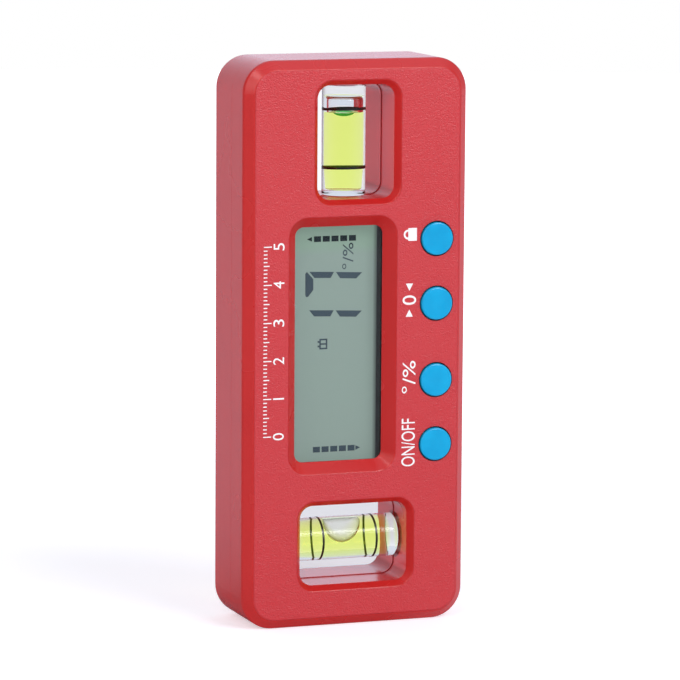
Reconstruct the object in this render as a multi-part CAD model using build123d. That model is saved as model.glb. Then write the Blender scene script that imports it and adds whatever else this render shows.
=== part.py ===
from build123d import *
import os

# Digital spirit level standing on its short end: X across, Y from front to back, Z up.
# A depth is measured from the front face towards the back. All sizes are in millimetres.

# Case
BODY_WIDTH = 62.0
BODY_HEIGHT = 150.0
CORNER_RADIUS = 8.5
FRONT_CHAMFER = 2.5
FRONT_EDGE_ROUND = 1.2
REAR_EDGE_ROUND = 0.5
SEAM_DEPTH = 11.5
SEAM_BREAK = 0.06
WALL = 2.2
SINK = 0.4
OVERSHOOT = 1.0
PICK_MARGIN = 0.1

# Vial windows, open through both shells and a step smaller in the rear one
WINDOW_LONG = 30.0
WINDOW_SHORT = 21.3
WINDOW_CORNER = 3.5
WINDOW_BEVEL = 1.35
WINDOW_BEVEL_DEPTH = 2.0
WINDOW_EDGE_ROUND = 0.5
WINDOW_FROM_END = 21.7
WINDOW_SLEEVE = 1.8
WINDOW_GROOVE = 0.15
WINDOW_GROOVE_DEPTH = 0.5
WINDOW_STEP = 0.22

# Bubble vials
VIAL_DIAMETER = 11.6
VIAL_LENGTH = 29.3
VIAL_PIN_RADIUS = 3.6
VIAL_PIN_LENGTH = 2.3
VIAL_MOUTH_INSET = 0.4
VIAL_EDGE_BREAK = 0.3
VIAL_SEAT_GAP = 0.1
CUP_FLOOR = 1.0
CUP_WALL = 1.8
BORE_END_DIAMETER = 9.2
BORE_BARREL = 0.15
CHAMBER_LENGTH = 24.8
LEVEL_CHAMBER_DROP = 1.0
LIQUID_GAP = 0.03
BUBBLE_GAP = 0.1
PLUMB_BUBBLE_LENGTH = 9.2
PLUMB_BUBBLE_DEPTH = 5.4
LEVEL_BUBBLE_HEIGHT = 6.0
LEVEL_BUBBLE_DOME = 2.4

# Display opening and the parts stacked behind it
DISPLAY_X = -4.0
DISPLAY_WIDTH = 24.4
DISPLAY_HEIGHT = 62.3
DISPLAY_CORNER = 2.4
DISPLAY_BEVEL = 2.8
DISPLAY_BEVEL_DEPTH = 3.4
DISPLAY_LAND = 0.3
PANE_THICKNESS = 1.0
PANE_SEAT = 1.8
PANE_GAP = 0.15
RIM_WALL = 1.2
BEZEL_SIDE_OVERLAP = 0.15
BEZEL_END_MARGIN = 0.6
BEZEL_VIEW_DEPTH = 2.9
BEZEL_WALL = 1.5
LCD_GAP = 0.1
POLARISER_THICKNESS = 0.2
GLASS_THICKNESS = 0.4
FILM_MARGIN = 0.3
CONTACT_LEDGE = 3.0
CUSHION_THICKNESS = 0.4
CUSHION_MARGIN = 2.0
ZEBRA_WIDTH = 2.2
ZEBRA_MARGIN = 3.0
PEG_RADIUS = 0.6
PEG_GAP = 0.1
PEG_TAIL = 0.5
PEG_FROM_END = 8.0

# Circuit board
BOARD_THICKNESS = 1.2
BOARD_CORNER = 1.5
BOARD_MARGIN = 3.2
BOARD_END_MARGIN = 0.2
BOARD_ROOM = 0.9
BOARD_SCREW_FROM_END = 2.6
BOARD_POST_RADIUS = 1.9
BOARD_POST_GAP = 0.6
BOARD_SCREW_RADIUS = 0.9
BOARD_SCREW_HEAD_RADIUS = 1.7
BOARD_SCREW_HEAD_HEIGHT = 0.9
BOARD_SCREW_REACH = 5.0
THREAD_GAP = 0.05

# Buttons and their switches
BUTTON_DIAMETER = 8.7
BUTTON_PROUD = 1.0
BUTTON_CROWN = 0.3
BUTTON_EDGE_ROUND = 0.45
BUTTON_GAP = 0.3
BUTTON_X = 22.17
BUTTON_INNER_OFFSET = 10.2
BUTTON_OUTER_OFFSET = 27.4
BUTTON_SKIN = 1.4
BUTTON_SIDE = 0.9
BUTTON_TRAVEL = 0.5
FLANGE_WIDTH = 1.0
FLANGE_THICKNESS = 0.8
FLANGE_GAP = 0.1
BUTTON_POST_RADIUS = 2.0
SWITCH_SIZE = 6.0
SWITCH_HEIGHT = 3.5
SWITCH_EDGE_BREAK = 0.3
PLUNGER_RADIUS = 1.7
PLUNGER_GAP = 0.1
PLUNGER_PROUD = 1.5
PLUNGER_ROOT = 1.2

# Components on the board
CHIP_RADIUS = 4.0
CHIP_HEIGHT = 1.3
CHIP_TOP_RADIUS = 2.8
SENSOR_SIZE = 4.0
SENSOR_HEIGHT = 1.0
SENSOR_Z_OFFSET = -18.0
CRYSTAL_RADIUS = 1.0
CRYSTAL_LENGTH = 6.0
CRYSTAL_Z_OFFSET = 19.0
CAPACITOR_LENGTH = 2.0
CAPACITOR_WIDTH = 1.25
CAPACITOR_HEIGHT = 0.9
CAPACITOR_PITCH = 4.0
CAPACITOR_COUNT = 5

# Battery compartment, two cells side by side
CELL_DIAMETER = 10.5
CELL_LENGTH = 44.5
CELL_NUB_RADIUS = 1.9
CELL_NUB_HEIGHT = 0.8
CELL_EDGE_ROUND = 0.5
CELL_SPACE = 0.5
CELL_GAP = 0.3
CONTACT_THICKNESS = 0.3
CONTACT_WIDTH = 8.0
CONTACT_HEIGHT = 6.4
CONTACT_LEAF_HEIGHT = 4.0
CONTACT_STUD_RADIUS = 1.6
CONTACT_STUD_HEIGHT = 0.4
CONTACT_SEAT_GAP = 0.05
CONTACT_TAB_WIDTH = 2.4
CONTACT_TAB_REACH = 2.2
COMPARTMENT_WALL = 1.2
COMPARTMENT_FLOOR = 1.0
LEAD_RADIUS = 0.6
LEAD_BEND = 1.6
LEAD_DROP = 4.0

# Battery door
DOOR_THICKNESS = 1.6
DOOR_GAP = 0.15
DOOR_SEAT_GAP = 0.1
DOOR_EDGE_ROUND = 0.25
DOOR_SEAT_WIDTH = 2.0
DOOR_SEAT_THICKNESS = 2.0
TONGUE_WIDTH = 4.0
TONGUE_REACH = 1.5
TONGUE_THICKNESS = 0.7
TONGUE_SPACING = 16.0
TONGUE_GAP = 0.3
LATCH_WIDTH = 8.0
LATCH_REACH = 2.0
LATCH_THICKNESS = 0.9
LATCH_GAP = 0.3
LATCH_NIB_RADIUS = 0.12
GRIP_COUNT = 5
GRIP_PITCH = 2.0
GRIP_LENGTH = 12.0
GRIP_WIDTH = 0.9
GRIP_DEPTH = 0.4
GRIP_FROM_EDGE = 4.0
SCOOP_RADIUS = 7.0
SCOOP_DEPTH = 1.2
SCOOP_LENGTH = 12.0

# Case screws in deep holes at the corners
SCREW_FROM_SIDE = 6.9
SCREW_FROM_END = 9.6
SCREW_RADIUS = 1.25
SCREW_LENGTH = 9.0
SCREW_HEAD_RADIUS = 2.6
SCREW_HEAD_HEIGHT = 1.9
SCREW_WEB = 2.0
SCREW_HOLE_GAP = 0.3
PILLAR_WALL = 1.3
BOSS_RADIUS = 3.2
RECESS_WIDTH = 0.7
RECESS_LENGTH = 2.8
RECESS_DEPTH = 1.0

# Magnets in the long base edge, and the tongue that lines the shells up
MAGNET_RADIUS = 5.0
MAGNET_THICKNESS = 3.0
MAGNET_RECESS = 0.2
MAGNET_GAP = 0.05
MAGNET_PITCH = 40.0
MAGNET_COLLAR = 1.3
MAGNET_BACKING = 1.2
LIP_THICKNESS = 1.0
LIP_HEIGHT = 1.2
LIP_ROOT = 2.0
LIP_GAP = 0.12
LIP_END_MARGIN = 20.0

# Places worked out from the sizes above
MIDDLE_Z = BODY_HEIGHT / 2
LEVEL_Z = BODY_HEIGHT - WINDOW_FROM_END
PLUMB_Z = WINDOW_FROM_END
VIAL_RADIUS = VIAL_DIAMETER / 2
BORE_RADIUS = BORE_END_DIAMETER / 2
BUTTON_RADIUS = BUTTON_DIAMETER / 2
CELL_RADIUS = CELL_DIAMETER / 2

# Depths, stacked from the front face to the back: display, board, cells, door
PANE_DEPTH = DISPLAY_BEVEL_DEPTH + DISPLAY_LAND
BEZEL_DEPTH = PANE_DEPTH + PANE_THICKNESS
POLARISER_DEPTH = BEZEL_DEPTH + BEZEL_VIEW_DEPTH
FRONT_GLASS_DEPTH = POLARISER_DEPTH + POLARISER_THICKNESS
REAR_GLASS_DEPTH = FRONT_GLASS_DEPTH + GLASS_THICKNESS
REFLECTOR_DEPTH = REAR_GLASS_DEPTH + GLASS_THICKNESS
CUSHION_DEPTH = REFLECTOR_DEPTH + POLARISER_THICKNESS
BOARD_DEPTH = CUSHION_DEPTH + CUSHION_THICKNESS
BOARD_REAR_DEPTH = BOARD_DEPTH + BOARD_THICKNESS
FLOOR_DEPTH = BOARD_REAR_DEPTH + BOARD_ROOM
FLOOR_REAR_DEPTH = FLOOR_DEPTH + COMPARTMENT_FLOOR
CELL_DEPTH = FLOOR_REAR_DEPTH + CELL_GAP + CELL_RADIUS
DOOR_DEPTH = CELL_DEPTH + CELL_RADIUS + CELL_GAP
DOOR_SEAT_DEPTH = DOOR_DEPTH - DOOR_SEAT_GAP
BODY_DEPTH = DOOR_DEPTH + DOOR_THICKNESS
FRONT_FACE_Y = (BUTTON_PROUD - BODY_DEPTH) / 2

SWITCH_TOP_DEPTH = BOARD_DEPTH - SWITCH_HEIGHT
PLUNGER_TOP_DEPTH = SWITCH_TOP_DEPTH - PLUNGER_PROUD
FLANGE_DEPTH = WALL + FLANGE_GAP
FLANGE_REAR_DEPTH = FLANGE_DEPTH + FLANGE_THICKNESS

# Display frame, and the board that reaches from beside it to past the switches
RIM_GROW = PANE_SEAT + PANE_GAP + RIM_WALL
BEZEL_OUTER_WIDTH = DISPLAY_WIDTH + 2 * RIM_GROW
BEZEL_OUTER_HEIGHT = DISPLAY_HEIGHT + 2 * RIM_GROW
BEZEL_LEFT = DISPLAY_X - BEZEL_OUTER_WIDTH / 2
BEZEL_RIGHT = DISPLAY_X + BEZEL_OUTER_WIDTH / 2
GLASS_WIDTH = BEZEL_OUTER_WIDTH - 2 * (BEZEL_WALL + LCD_GAP)
GLASS_HEIGHT = BEZEL_OUTER_HEIGHT - 2 * (BEZEL_WALL + LCD_GAP)
LEFT_POST_X = BEZEL_LEFT - BOARD_POST_GAP - BOARD_POST_RADIUS
BOARD_LEFT = LEFT_POST_X - BOARD_MARGIN
BOARD_RIGHT = BUTTON_X + SWITCH_SIZE / 2 + BOARD_END_MARGIN
BOARD_HEIGHT = BEZEL_OUTER_HEIGHT + 2 * BOARD_END_MARGIN
COMPONENT_X = (BEZEL_RIGHT + BUTTON_X - SWITCH_SIZE / 2) / 2

# Battery compartment and its door
CELL_PITCH = CELL_DIAMETER + CELL_SPACE
COMPARTMENT_WIDTH = CELL_PITCH + CELL_DIAMETER + 2 * CELL_GAP
PLATE_STACK = 2 * (CONTACT_SEAT_GAP + CONTACT_THICKNESS)
COMPARTMENT_HEIGHT = CELL_LENGTH + PLATE_STACK + CONTACT_LEAF_HEIGHT + CONTACT_STUD_HEIGHT
COMPARTMENT_BOTTOM = MIDDLE_Z - COMPARTMENT_HEIGHT / 2
COMPARTMENT_TOP = MIDDLE_Z + COMPARTMENT_HEIGHT / 2
DOOR_WIDTH = COMPARTMENT_WIDTH + 2 * COMPARTMENT_WALL
DOOR_HEIGHT = COMPARTMENT_HEIGHT + 2 * COMPARTMENT_WALL
DOOR_TOP = MIDDLE_Z + DOOR_HEIGHT / 2
DOOR_BOTTOM = MIDDLE_Z - DOOR_HEIGHT / 2

# Places of what repeats
SCREW_X = BODY_WIDTH / 2 - SCREW_FROM_SIDE
SCREW_PLACES = [
    (side * SCREW_X, z)
    for z in (SCREW_FROM_END, BODY_HEIGHT - SCREW_FROM_END)
    for side in (-1, 1)
]
BOARD_SCREW_OFFSET = BOARD_HEIGHT / 2 - BOARD_SCREW_FROM_END
BETWEEN_BUTTONS = (BUTTON_INNER_OFFSET + BUTTON_OUTER_OFFSET) / 2
BOARD_SCREW_PLACES = [
    (LEFT_POST_X, MIDDLE_Z - BOARD_SCREW_OFFSET),
    (LEFT_POST_X, MIDDLE_Z + BOARD_SCREW_OFFSET),
    (BUTTON_X, MIDDLE_Z - BETWEEN_BUTTONS),
    (BUTTON_X, MIDDLE_Z + BETWEEN_BUTTONS),
]
BUTTON_PLACES = {
    "hold": MIDDLE_Z + BUTTON_OUTER_OFFSET,
    "zero": MIDDLE_Z + BUTTON_INNER_OFFSET,
    "unit": MIDDLE_Z - BUTTON_INNER_OFFSET,
    "power": MIDDLE_Z - BUTTON_OUTER_OFFSET,
}
MAGNET_PLACES = [MIDDLE_Z + step * MAGNET_PITCH for step in (-1, 0, 1)]
PEG_PLACES = [
    (
        DISPLAY_X + side * (BEZEL_OUTER_WIDTH - BEZEL_WALL) / 2,
        MIDDLE_Z + end * (BEZEL_OUTER_HEIGHT / 2 - PEG_FROM_END),
    )
    for side in (-1, 1)
    for end in (-1, 1)
]


def y_at(depth):
    """The Y coordinate of a depth behind the front face."""
    return FRONT_FACE_Y + depth


def face_at(profile, depth):
    """A flat profile, drawn as X and Z, laid at a depth."""
    return Plane.XZ.offset(-y_at(depth)) * profile


def slab(profile, near, far):
    """A flat profile, drawn as X and Z, extruded from one depth to another."""
    return extrude(face_at(profile, near), amount=far - near, dir=(0, 1, 0))


def rod(radius, x, z, near, far):
    """A round bar running from front to back."""
    return slab(Pos(x, z) * Circle(radius), near, far)


def block(x_low, x_high, near, far, z_low, z_high):
    """A square block between two corners."""
    middle = Pos((x_low + x_high) / 2, y_at((near + far) / 2), (z_low + z_high) / 2)
    return middle * Box(x_high - x_low, far - near, z_high - z_low)


def flared(outline, near, near_grow, far, far_grow):
    """A cutter between two sizes of one outline at two depths."""
    ends = [face_at(outline(near_grow), near), face_at(outline(far_grow), far)]
    return loft(ends, ruled=True)


def edges_at(shape, depth):
    """The edges of a shape that lie in the plane at a depth."""
    y = y_at(depth)
    return shape.edges().filter_by_position(Axis.Y, y - PICK_MARGIN, y + PICK_MARGIN)


def edges_round(shape, depth, x, z, width, height):
    """The edges at a depth that belong to an opening, given its middle and its size."""
    half_width = width / 2 + PICK_MARGIN
    half_height = height / 2 + PICK_MARGIN
    across = edges_at(shape, depth).filter_by_position(Axis.X, x - half_width, x + half_width)
    return across.filter_by_position(Axis.Z, z - half_height, z + half_height)


def case_outline(inset):
    size = RectangleRounded(
        BODY_WIDTH - 2 * inset, BODY_HEIGHT - 2 * inset, CORNER_RADIUS - inset
    )
    return Pos(0, MIDDLE_Z) * size


def level_outline(grow):
    size = RectangleRounded(
        WINDOW_SHORT + 2 * grow, WINDOW_LONG + 2 * grow, WINDOW_CORNER + grow
    )
    return Pos(0, LEVEL_Z) * size


def plumb_outline(grow):
    size = RectangleRounded(
        WINDOW_LONG + 2 * grow, WINDOW_SHORT + 2 * grow, WINDOW_CORNER + grow
    )
    return Pos(0, PLUMB_Z) * size


def display_outline(grow):
    size = RectangleRounded(
        DISPLAY_WIDTH + 2 * grow, DISPLAY_HEIGHT + 2 * grow, DISPLAY_CORNER + grow
    )
    return Pos(DISPLAY_X, MIDDLE_Z) * size


def display_rectangle(width, height):
    return Pos(DISPLAY_X, MIDDLE_Z) * Rectangle(width, height)


def along_x(shape):
    """Turns a piece made along Z so that it lies along X in the plumb vial's place."""
    return Pos(0, y_at(SEAM_DEPTH), PLUMB_Z) * Rot(0, 90, 0) * shape


def along_z(shape):
    """Puts a piece made along Z in the level vial's place."""
    return Pos(0, y_at(SEAM_DEPTH), LEVEL_Z) * shape


def window_sleeves(near, far):
    """Walls round the two windows, and the blocks that carry the vials' pins."""
    reach = VIAL_LENGTH / 2 + VIAL_PIN_LENGTH + VIAL_SEAT_GAP + CUP_FLOOR
    cup = VIAL_PIN_RADIUS + VIAL_SEAT_GAP + CUP_WALL
    level_top = BODY_HEIGHT - WALL + SINK
    return [
        slab(level_outline(WINDOW_SLEEVE), near, far),
        slab(plumb_outline(WINDOW_SLEEVE), near, far),
        block(-cup, cup, near, far, LEVEL_Z - reach, level_top),
        block(-reach, reach, near, far, PLUMB_Z - cup, PLUMB_Z + cup),
    ]


def window_cuts(face_depth, inward, grow):
    """The two window openings with bevels and a groove at the seam, and the pins' seats."""
    seam_end = SEAM_DEPTH + inward * OVERSHOOT
    outside = face_depth - inward * OVERSHOOT
    bevel_end = face_depth + inward * WINDOW_BEVEL_DEPTH
    outside_grow = grow + WINDOW_BEVEL * (1 + OVERSHOOT / WINDOW_BEVEL_DEPTH)
    groove = SEAM_DEPTH - inward * WINDOW_GROOVE
    cuts = []
    for outline in (level_outline, plumb_outline):
        cuts.append(slab(outline(grow), min(outside, seam_end), max(outside, seam_end)))
        cuts.append(flared(outline, outside, outside_grow, bevel_end, grow))
        groove_ends = sorted((groove, seam_end))
        cuts.append(slab(outline(WINDOW_GROOVE_DEPTH), groove_ends[0], groove_ends[1]))
    seat_length = VIAL_LENGTH + 2 * (VIAL_PIN_LENGTH + VIAL_SEAT_GAP)
    seat = Cylinder(VIAL_PIN_RADIUS + VIAL_SEAT_GAP, seat_length)
    cuts.append(along_z(seat))
    cuts.append(along_x(seat))
    return cuts


def round_window_edges(shell, depth, grow):
    """Takes the sharpness off the outer edge of both window bevels."""
    short = WINDOW_SHORT + 2 * (WINDOW_BEVEL + grow)
    long = WINDOW_LONG + 2 * (WINDOW_BEVEL + grow)
    edges = edges_round(shell, depth, 0, LEVEL_Z, short, long)
    edges += edges_round(shell, depth, 0, PLUMB_Z, long, short)
    return fillet(edges, WINDOW_EDGE_ROUND)


def magnet_collars(near, far):
    """Half-round collars behind the side wall, one for each magnet."""
    inner = BODY_WIDTH / 2 - MAGNET_RECESS - MAGNET_THICKNESS - MAGNET_GAP - MAGNET_BACKING
    outer = BODY_WIDTH / 2 - WALL + SINK
    collars = []
    for z in MAGNET_PLACES:
        bar = Cylinder(MAGNET_RADIUS + MAGNET_GAP + MAGNET_COLLAR, outer - inner)
        bar = Pos((inner + outer) / 2, y_at(SEAM_DEPTH), z) * Rot(0, 90, 0) * bar
        half = block(inner, outer, near, far, z - 2 * MAGNET_RADIUS, z + 2 * MAGNET_RADIUS)
        collars.append(bar & half)
    return collars


def magnet_pockets():
    inner = BODY_WIDTH / 2 - MAGNET_RECESS - MAGNET_THICKNESS - MAGNET_GAP
    outer = BODY_WIDTH / 2 + OVERSHOOT
    bar = Cylinder(MAGNET_RADIUS + MAGNET_GAP, outer - inner)
    middle = (inner + outer) / 2
    return [Pos(middle, y_at(SEAM_DEPTH), z) * Rot(0, 90, 0) * bar for z in MAGNET_PLACES]


def make_front_shell():
    shell = slab(case_outline(0), 0, SEAM_DEPTH)
    shell = chamfer(edges_at(shell, 0), FRONT_CHAMFER)
    shell = chamfer(edges_at(shell, SEAM_DEPTH), SEAM_BREAK)
    front_loops = edges_at(shell, 0) + edges_at(shell, FRONT_CHAMFER)
    shell = fillet(front_loops, FRONT_EDGE_ROUND)
    shell -= slab(case_outline(WALL), WALL, SEAM_DEPTH + OVERSHOOT)

    inside = WALL - SINK
    shell += window_sleeves(inside, SEAM_DEPTH)
    shell += slab(display_outline(RIM_GROW), inside, BEZEL_DEPTH)
    shell += magnet_collars(inside, SEAM_DEPTH)
    shell += [rod(BOSS_RADIUS, x, z, inside, SEAM_DEPTH) for x, z in SCREW_PLACES]
    shell += [rod(BOARD_POST_RADIUS, x, z, inside, BOARD_DEPTH) for x, z in BOARD_SCREW_PLACES]

    shell -= window_cuts(0, 1, 0)
    outside_grow = DISPLAY_BEVEL * (1 + OVERSHOOT / DISPLAY_BEVEL_DEPTH)
    shell -= flared(display_outline, -OVERSHOOT, outside_grow, DISPLAY_BEVEL_DEPTH, 0)
    shell -= slab(display_outline(0), 0, BEZEL_DEPTH)
    shell -= slab(display_outline(PANE_SEAT + PANE_GAP), PANE_DEPTH, BEZEL_DEPTH)
    shell -= magnet_pockets()
    hole = BUTTON_RADIUS + BUTTON_GAP
    shell -= [rod(hole, BUTTON_X, z, -OVERSHOOT, 2 * WALL) for z in BUTTON_PLACES.values()]
    pilot = SCREW_RADIUS + THREAD_GAP
    pilot_end = SEAM_DEPTH + SCREW_WEB - SCREW_LENGTH - OVERSHOOT
    shell -= [rod(pilot, x, z, pilot_end, SEAM_DEPTH + OVERSHOOT) for x, z in SCREW_PLACES]
    pilot = BOARD_SCREW_RADIUS + THREAD_GAP
    pilot_end = BOARD_REAR_DEPTH - BOARD_SCREW_REACH - OVERSHOOT
    shell -= [rod(pilot, x, z, pilot_end, SEAM_DEPTH) for x, z in BOARD_SCREW_PLACES]

    shell = round_window_edges(shell, 0, 0)
    width = DISPLAY_WIDTH + 2 * DISPLAY_BEVEL
    height = DISPLAY_HEIGHT + 2 * DISPLAY_BEVEL
    rim = edges_round(shell, 0, DISPLAY_X, MIDDLE_Z, width, height)
    return fillet(rim, WINDOW_EDGE_ROUND)


def lip_runs():
    """Where the lining-up tongue runs: one long side, and between the magnets on the other."""
    clear = MAGNET_RADIUS + MAGNET_GAP + MAGNET_COLLAR + LIP_THICKNESS
    runs = [(-1, LIP_END_MARGIN, BODY_HEIGHT - LIP_END_MARGIN)]
    for low, high in zip(MAGNET_PLACES[:-1], MAGNET_PLACES[1:]):
        runs.append((1, low + clear, high - clear))
    return runs


def side_lip():
    """A tongue standing on the rear shell's side walls, just inside the front shell's."""
    wall_face = BODY_WIDTH / 2 - WALL
    inner = wall_face - LIP_GAP - LIP_THICKNESS
    pieces = []
    for side, low, high in lip_runs():
        for outer, near, far in (
            (wall_face - LIP_GAP, SEAM_DEPTH - LIP_HEIGHT, SEAM_DEPTH + LIP_ROOT),
            (wall_face + SINK, SEAM_DEPTH + SEAM_BREAK, SEAM_DEPTH + LIP_ROOT),
        ):
            ends = sorted((side * inner, side * outer))
            pieces.append(block(ends[0], ends[1], near, far, low, high))
    return pieces


def compartment_block():
    """Floor and walls of the battery compartment, with a wider seat for the door."""
    centre = Pos(0, MIDDLE_Z)
    walls = slab(centre * Rectangle(DOOR_WIDTH, DOOR_HEIGHT), FLOOR_DEPTH, DOOR_SEAT_DEPTH)
    seat_outline = Rectangle(DOOR_WIDTH + 2 * DOOR_SEAT_WIDTH, DOOR_HEIGHT + 2 * DOOR_SEAT_WIDTH)
    seat_end = BODY_DEPTH - WALL + SINK
    seat = slab(centre * seat_outline, DOOR_SEAT_DEPTH - DOOR_SEAT_THICKNESS, seat_end)
    return [walls, seat]


def door_cuts():
    """The cells' room, the door's recess, its tongue slots and the fingernail scoop."""
    centre = Pos(0, MIDDLE_Z)
    past = BODY_DEPTH + OVERSHOOT
    room = slab(centre * Rectangle(COMPARTMENT_WIDTH, COMPARTMENT_HEIGHT), FLOOR_REAR_DEPTH, past)
    recess_size = Rectangle(DOOR_WIDTH + 2 * DOOR_GAP, DOOR_HEIGHT + 2 * DOOR_GAP)
    recess = slab(centre * recess_size, DOOR_SEAT_DEPTH, past)
    cuts = [room, recess]
    slot_top = DOOR_TOP + TONGUE_REACH + TONGUE_GAP
    slot_near = DOOR_DEPTH - TONGUE_REACH
    slot_far = DOOR_DEPTH + TONGUE_THICKNESS + DOOR_SEAT_GAP
    half_slot = TONGUE_WIDTH / 2 + TONGUE_GAP
    for side in (-1, 1):
        x = side * TONGUE_SPACING / 2
        slot = block(x - half_slot, x + half_slot, slot_near, slot_far, COMPARTMENT_TOP, slot_top)
        cuts.append(slot)
    scoop = Rot(0, 90, 0) * Cylinder(SCOOP_RADIUS, SCOOP_LENGTH)
    cuts.append(Pos(0, y_at(BODY_DEPTH - SCOOP_DEPTH) + SCOOP_RADIUS, DOOR_BOTTOM) * scoop)
    tab_half = CONTACT_TAB_WIDTH / 2 + CONTACT_SEAT_GAP
    tab_depth = CONTACT_THICKNESS / 2 + CONTACT_SEAT_GAP
    for side in (-1, 1):
        x = side * CELL_PITCH / 2
        near = CELL_DEPTH - tab_depth
        far = CELL_DEPTH + tab_depth
        low = DOOR_BOTTOM - OVERSHOOT
        cuts.append(block(x - tab_half, x + tab_half, near, far, low, MIDDLE_Z - CELL_LENGTH / 2))
    return cuts


def make_rear_shell():
    shell = slab(case_outline(0), SEAM_DEPTH, BODY_DEPTH)
    shell = chamfer(edges_at(shell, SEAM_DEPTH), SEAM_BREAK)
    shell = fillet(edges_at(shell, BODY_DEPTH), REAR_EDGE_ROUND)
    shell -= slab(case_outline(WALL), SEAM_DEPTH - OVERSHOOT, BODY_DEPTH - WALL)

    inside_end = BODY_DEPTH - WALL + SINK
    pillar = SCREW_HEAD_RADIUS + SCREW_HOLE_GAP + PILLAR_WALL
    shell += window_sleeves(SEAM_DEPTH, inside_end)
    shell += [rod(pillar, x, z, SEAM_DEPTH, inside_end) for x, z in SCREW_PLACES]
    shell += magnet_collars(SEAM_DEPTH, inside_end)
    shell += compartment_block()
    shell += side_lip()

    shell -= window_cuts(BODY_DEPTH, -1, -WINDOW_STEP)
    shell -= magnet_pockets()
    shell -= door_cuts()
    head_hole = SCREW_HEAD_RADIUS + SCREW_HOLE_GAP
    web_end = SEAM_DEPTH + SCREW_WEB
    past = BODY_DEPTH + OVERSHOOT
    shell -= [rod(head_hole, x, z, web_end, past) for x, z in SCREW_PLACES]
    shank_hole = SCREW_RADIUS + SCREW_HOLE_GAP
    shell -= [rod(shank_hole, x, z, SEAM_DEPTH - OVERSHOOT, past) for x, z in SCREW_PLACES]
    return round_window_edges(shell, BODY_DEPTH, -WINDOW_STEP)


def make_battery_door():
    centre = Pos(0, MIDDLE_Z)
    door = slab(centre * Rectangle(DOOR_WIDTH, DOOR_HEIGHT), DOOR_DEPTH, BODY_DEPTH)
    rear_edges = door.edges().group_by(Axis.Y)[-1]
    door = fillet(rear_edges, DOOR_EDGE_ROUND)
    for side in (-1, 1):
        x = side * TONGUE_SPACING / 2
        half = TONGUE_WIDTH / 2
        tongue_end = DOOR_DEPTH + TONGUE_THICKNESS
        tip = DOOR_TOP + TONGUE_REACH
        door += block(x - half, x + half, DOOR_DEPTH, tongue_end, DOOR_TOP - OVERSHOOT, tip)
    latch_low = COMPARTMENT_BOTTOM + LATCH_GAP
    latch_near = DOOR_DEPTH - LATCH_REACH
    half = LATCH_WIDTH / 2
    latch_high = latch_low + LATCH_THICKNESS
    door += block(-half, half, latch_near, DOOR_DEPTH + DOOR_THICKNESS / 2, latch_low, latch_high)
    nib = Rot(0, 90, 0) * Cylinder(LATCH_NIB_RADIUS, LATCH_WIDTH)
    door += Pos(0, y_at(latch_near + 2 * LATCH_NIB_RADIUS), latch_low) * nib
    for step in range(GRIP_COUNT):
        z = DOOR_BOTTOM + GRIP_FROM_EDGE + step * GRIP_PITCH
        groove = Pos(0, z) * SlotOverall(GRIP_LENGTH, GRIP_WIDTH)
        door -= slab(groove, BODY_DEPTH - GRIP_DEPTH, BODY_DEPTH + OVERSHOOT)
    return door


def make_case_screw(x, z):
    head_depth = SEAM_DEPTH + SCREW_WEB
    head_end = head_depth + SCREW_HEAD_HEIGHT
    head = rod(SCREW_HEAD_RADIUS, x, z, head_depth, head_end)
    head = fillet(head.edges().group_by(Axis.Y)[-1], SCREW_HEAD_HEIGHT / 3)
    screw = head + rod(SCREW_RADIUS, x, z, head_depth - SCREW_LENGTH, head_depth)
    recess_depth = head_end - RECESS_DEPTH
    for width, height in ((RECESS_WIDTH, RECESS_LENGTH), (RECESS_LENGTH, RECESS_WIDTH)):
        screw -= slab(Pos(x, z) * Rectangle(width, height), recess_depth, head_end + OVERSHOOT)
    return screw


def make_board_screw(x, z):
    head_end = BOARD_REAR_DEPTH + BOARD_SCREW_HEAD_HEIGHT
    head = rod(BOARD_SCREW_HEAD_RADIUS, x, z, BOARD_REAR_DEPTH, head_end)
    shank_end = BOARD_REAR_DEPTH - BOARD_SCREW_REACH
    screw = head + rod(BOARD_SCREW_RADIUS, x, z, shank_end, BOARD_REAR_DEPTH)
    slot = Pos(x, z) * Rectangle(RECESS_LENGTH, RECESS_WIDTH)
    return screw - slab(slot, head_end - BOARD_SCREW_HEAD_HEIGHT / 2, head_end + OVERSHOOT)


def make_base_magnet(z):
    disc = Cylinder(MAGNET_RADIUS, MAGNET_THICKNESS)
    disc = fillet(disc.edges().filter_by(GeomType.CIRCLE), MAGNET_RECESS)
    x = BODY_WIDTH / 2 - MAGNET_RECESS - MAGNET_THICKNESS / 2
    return Pos(x, y_at(SEAM_DEPTH), z) * Rot(0, 90, 0) * disc


def make_display_window():
    return slab(display_outline(PANE_SEAT), PANE_DEPTH, BEZEL_DEPTH)


def make_lcd_bezel():
    """Black frame: the view opening in front, the LCD's pocket behind, pegs into the board."""
    view_width = DISPLAY_WIDTH - 2 * BEZEL_SIDE_OVERLAP
    view_height = DISPLAY_HEIGHT + 2 * BEZEL_END_MARGIN
    frame = slab(display_outline(RIM_GROW), BEZEL_DEPTH, BOARD_DEPTH)
    frame -= slab(display_rectangle(view_width, view_height), BEZEL_DEPTH, POLARISER_DEPTH)
    pocket = display_rectangle(GLASS_WIDTH + 2 * LCD_GAP, GLASS_HEIGHT + 2 * LCD_GAP)
    frame -= slab(pocket, POLARISER_DEPTH, BOARD_DEPTH)
    peg_end = BOARD_REAR_DEPTH + PEG_TAIL
    frame += [rod(PEG_RADIUS, x, z, BOARD_DEPTH - OVERSHOOT, peg_end) for x, z in PEG_PLACES]
    return frame


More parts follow.
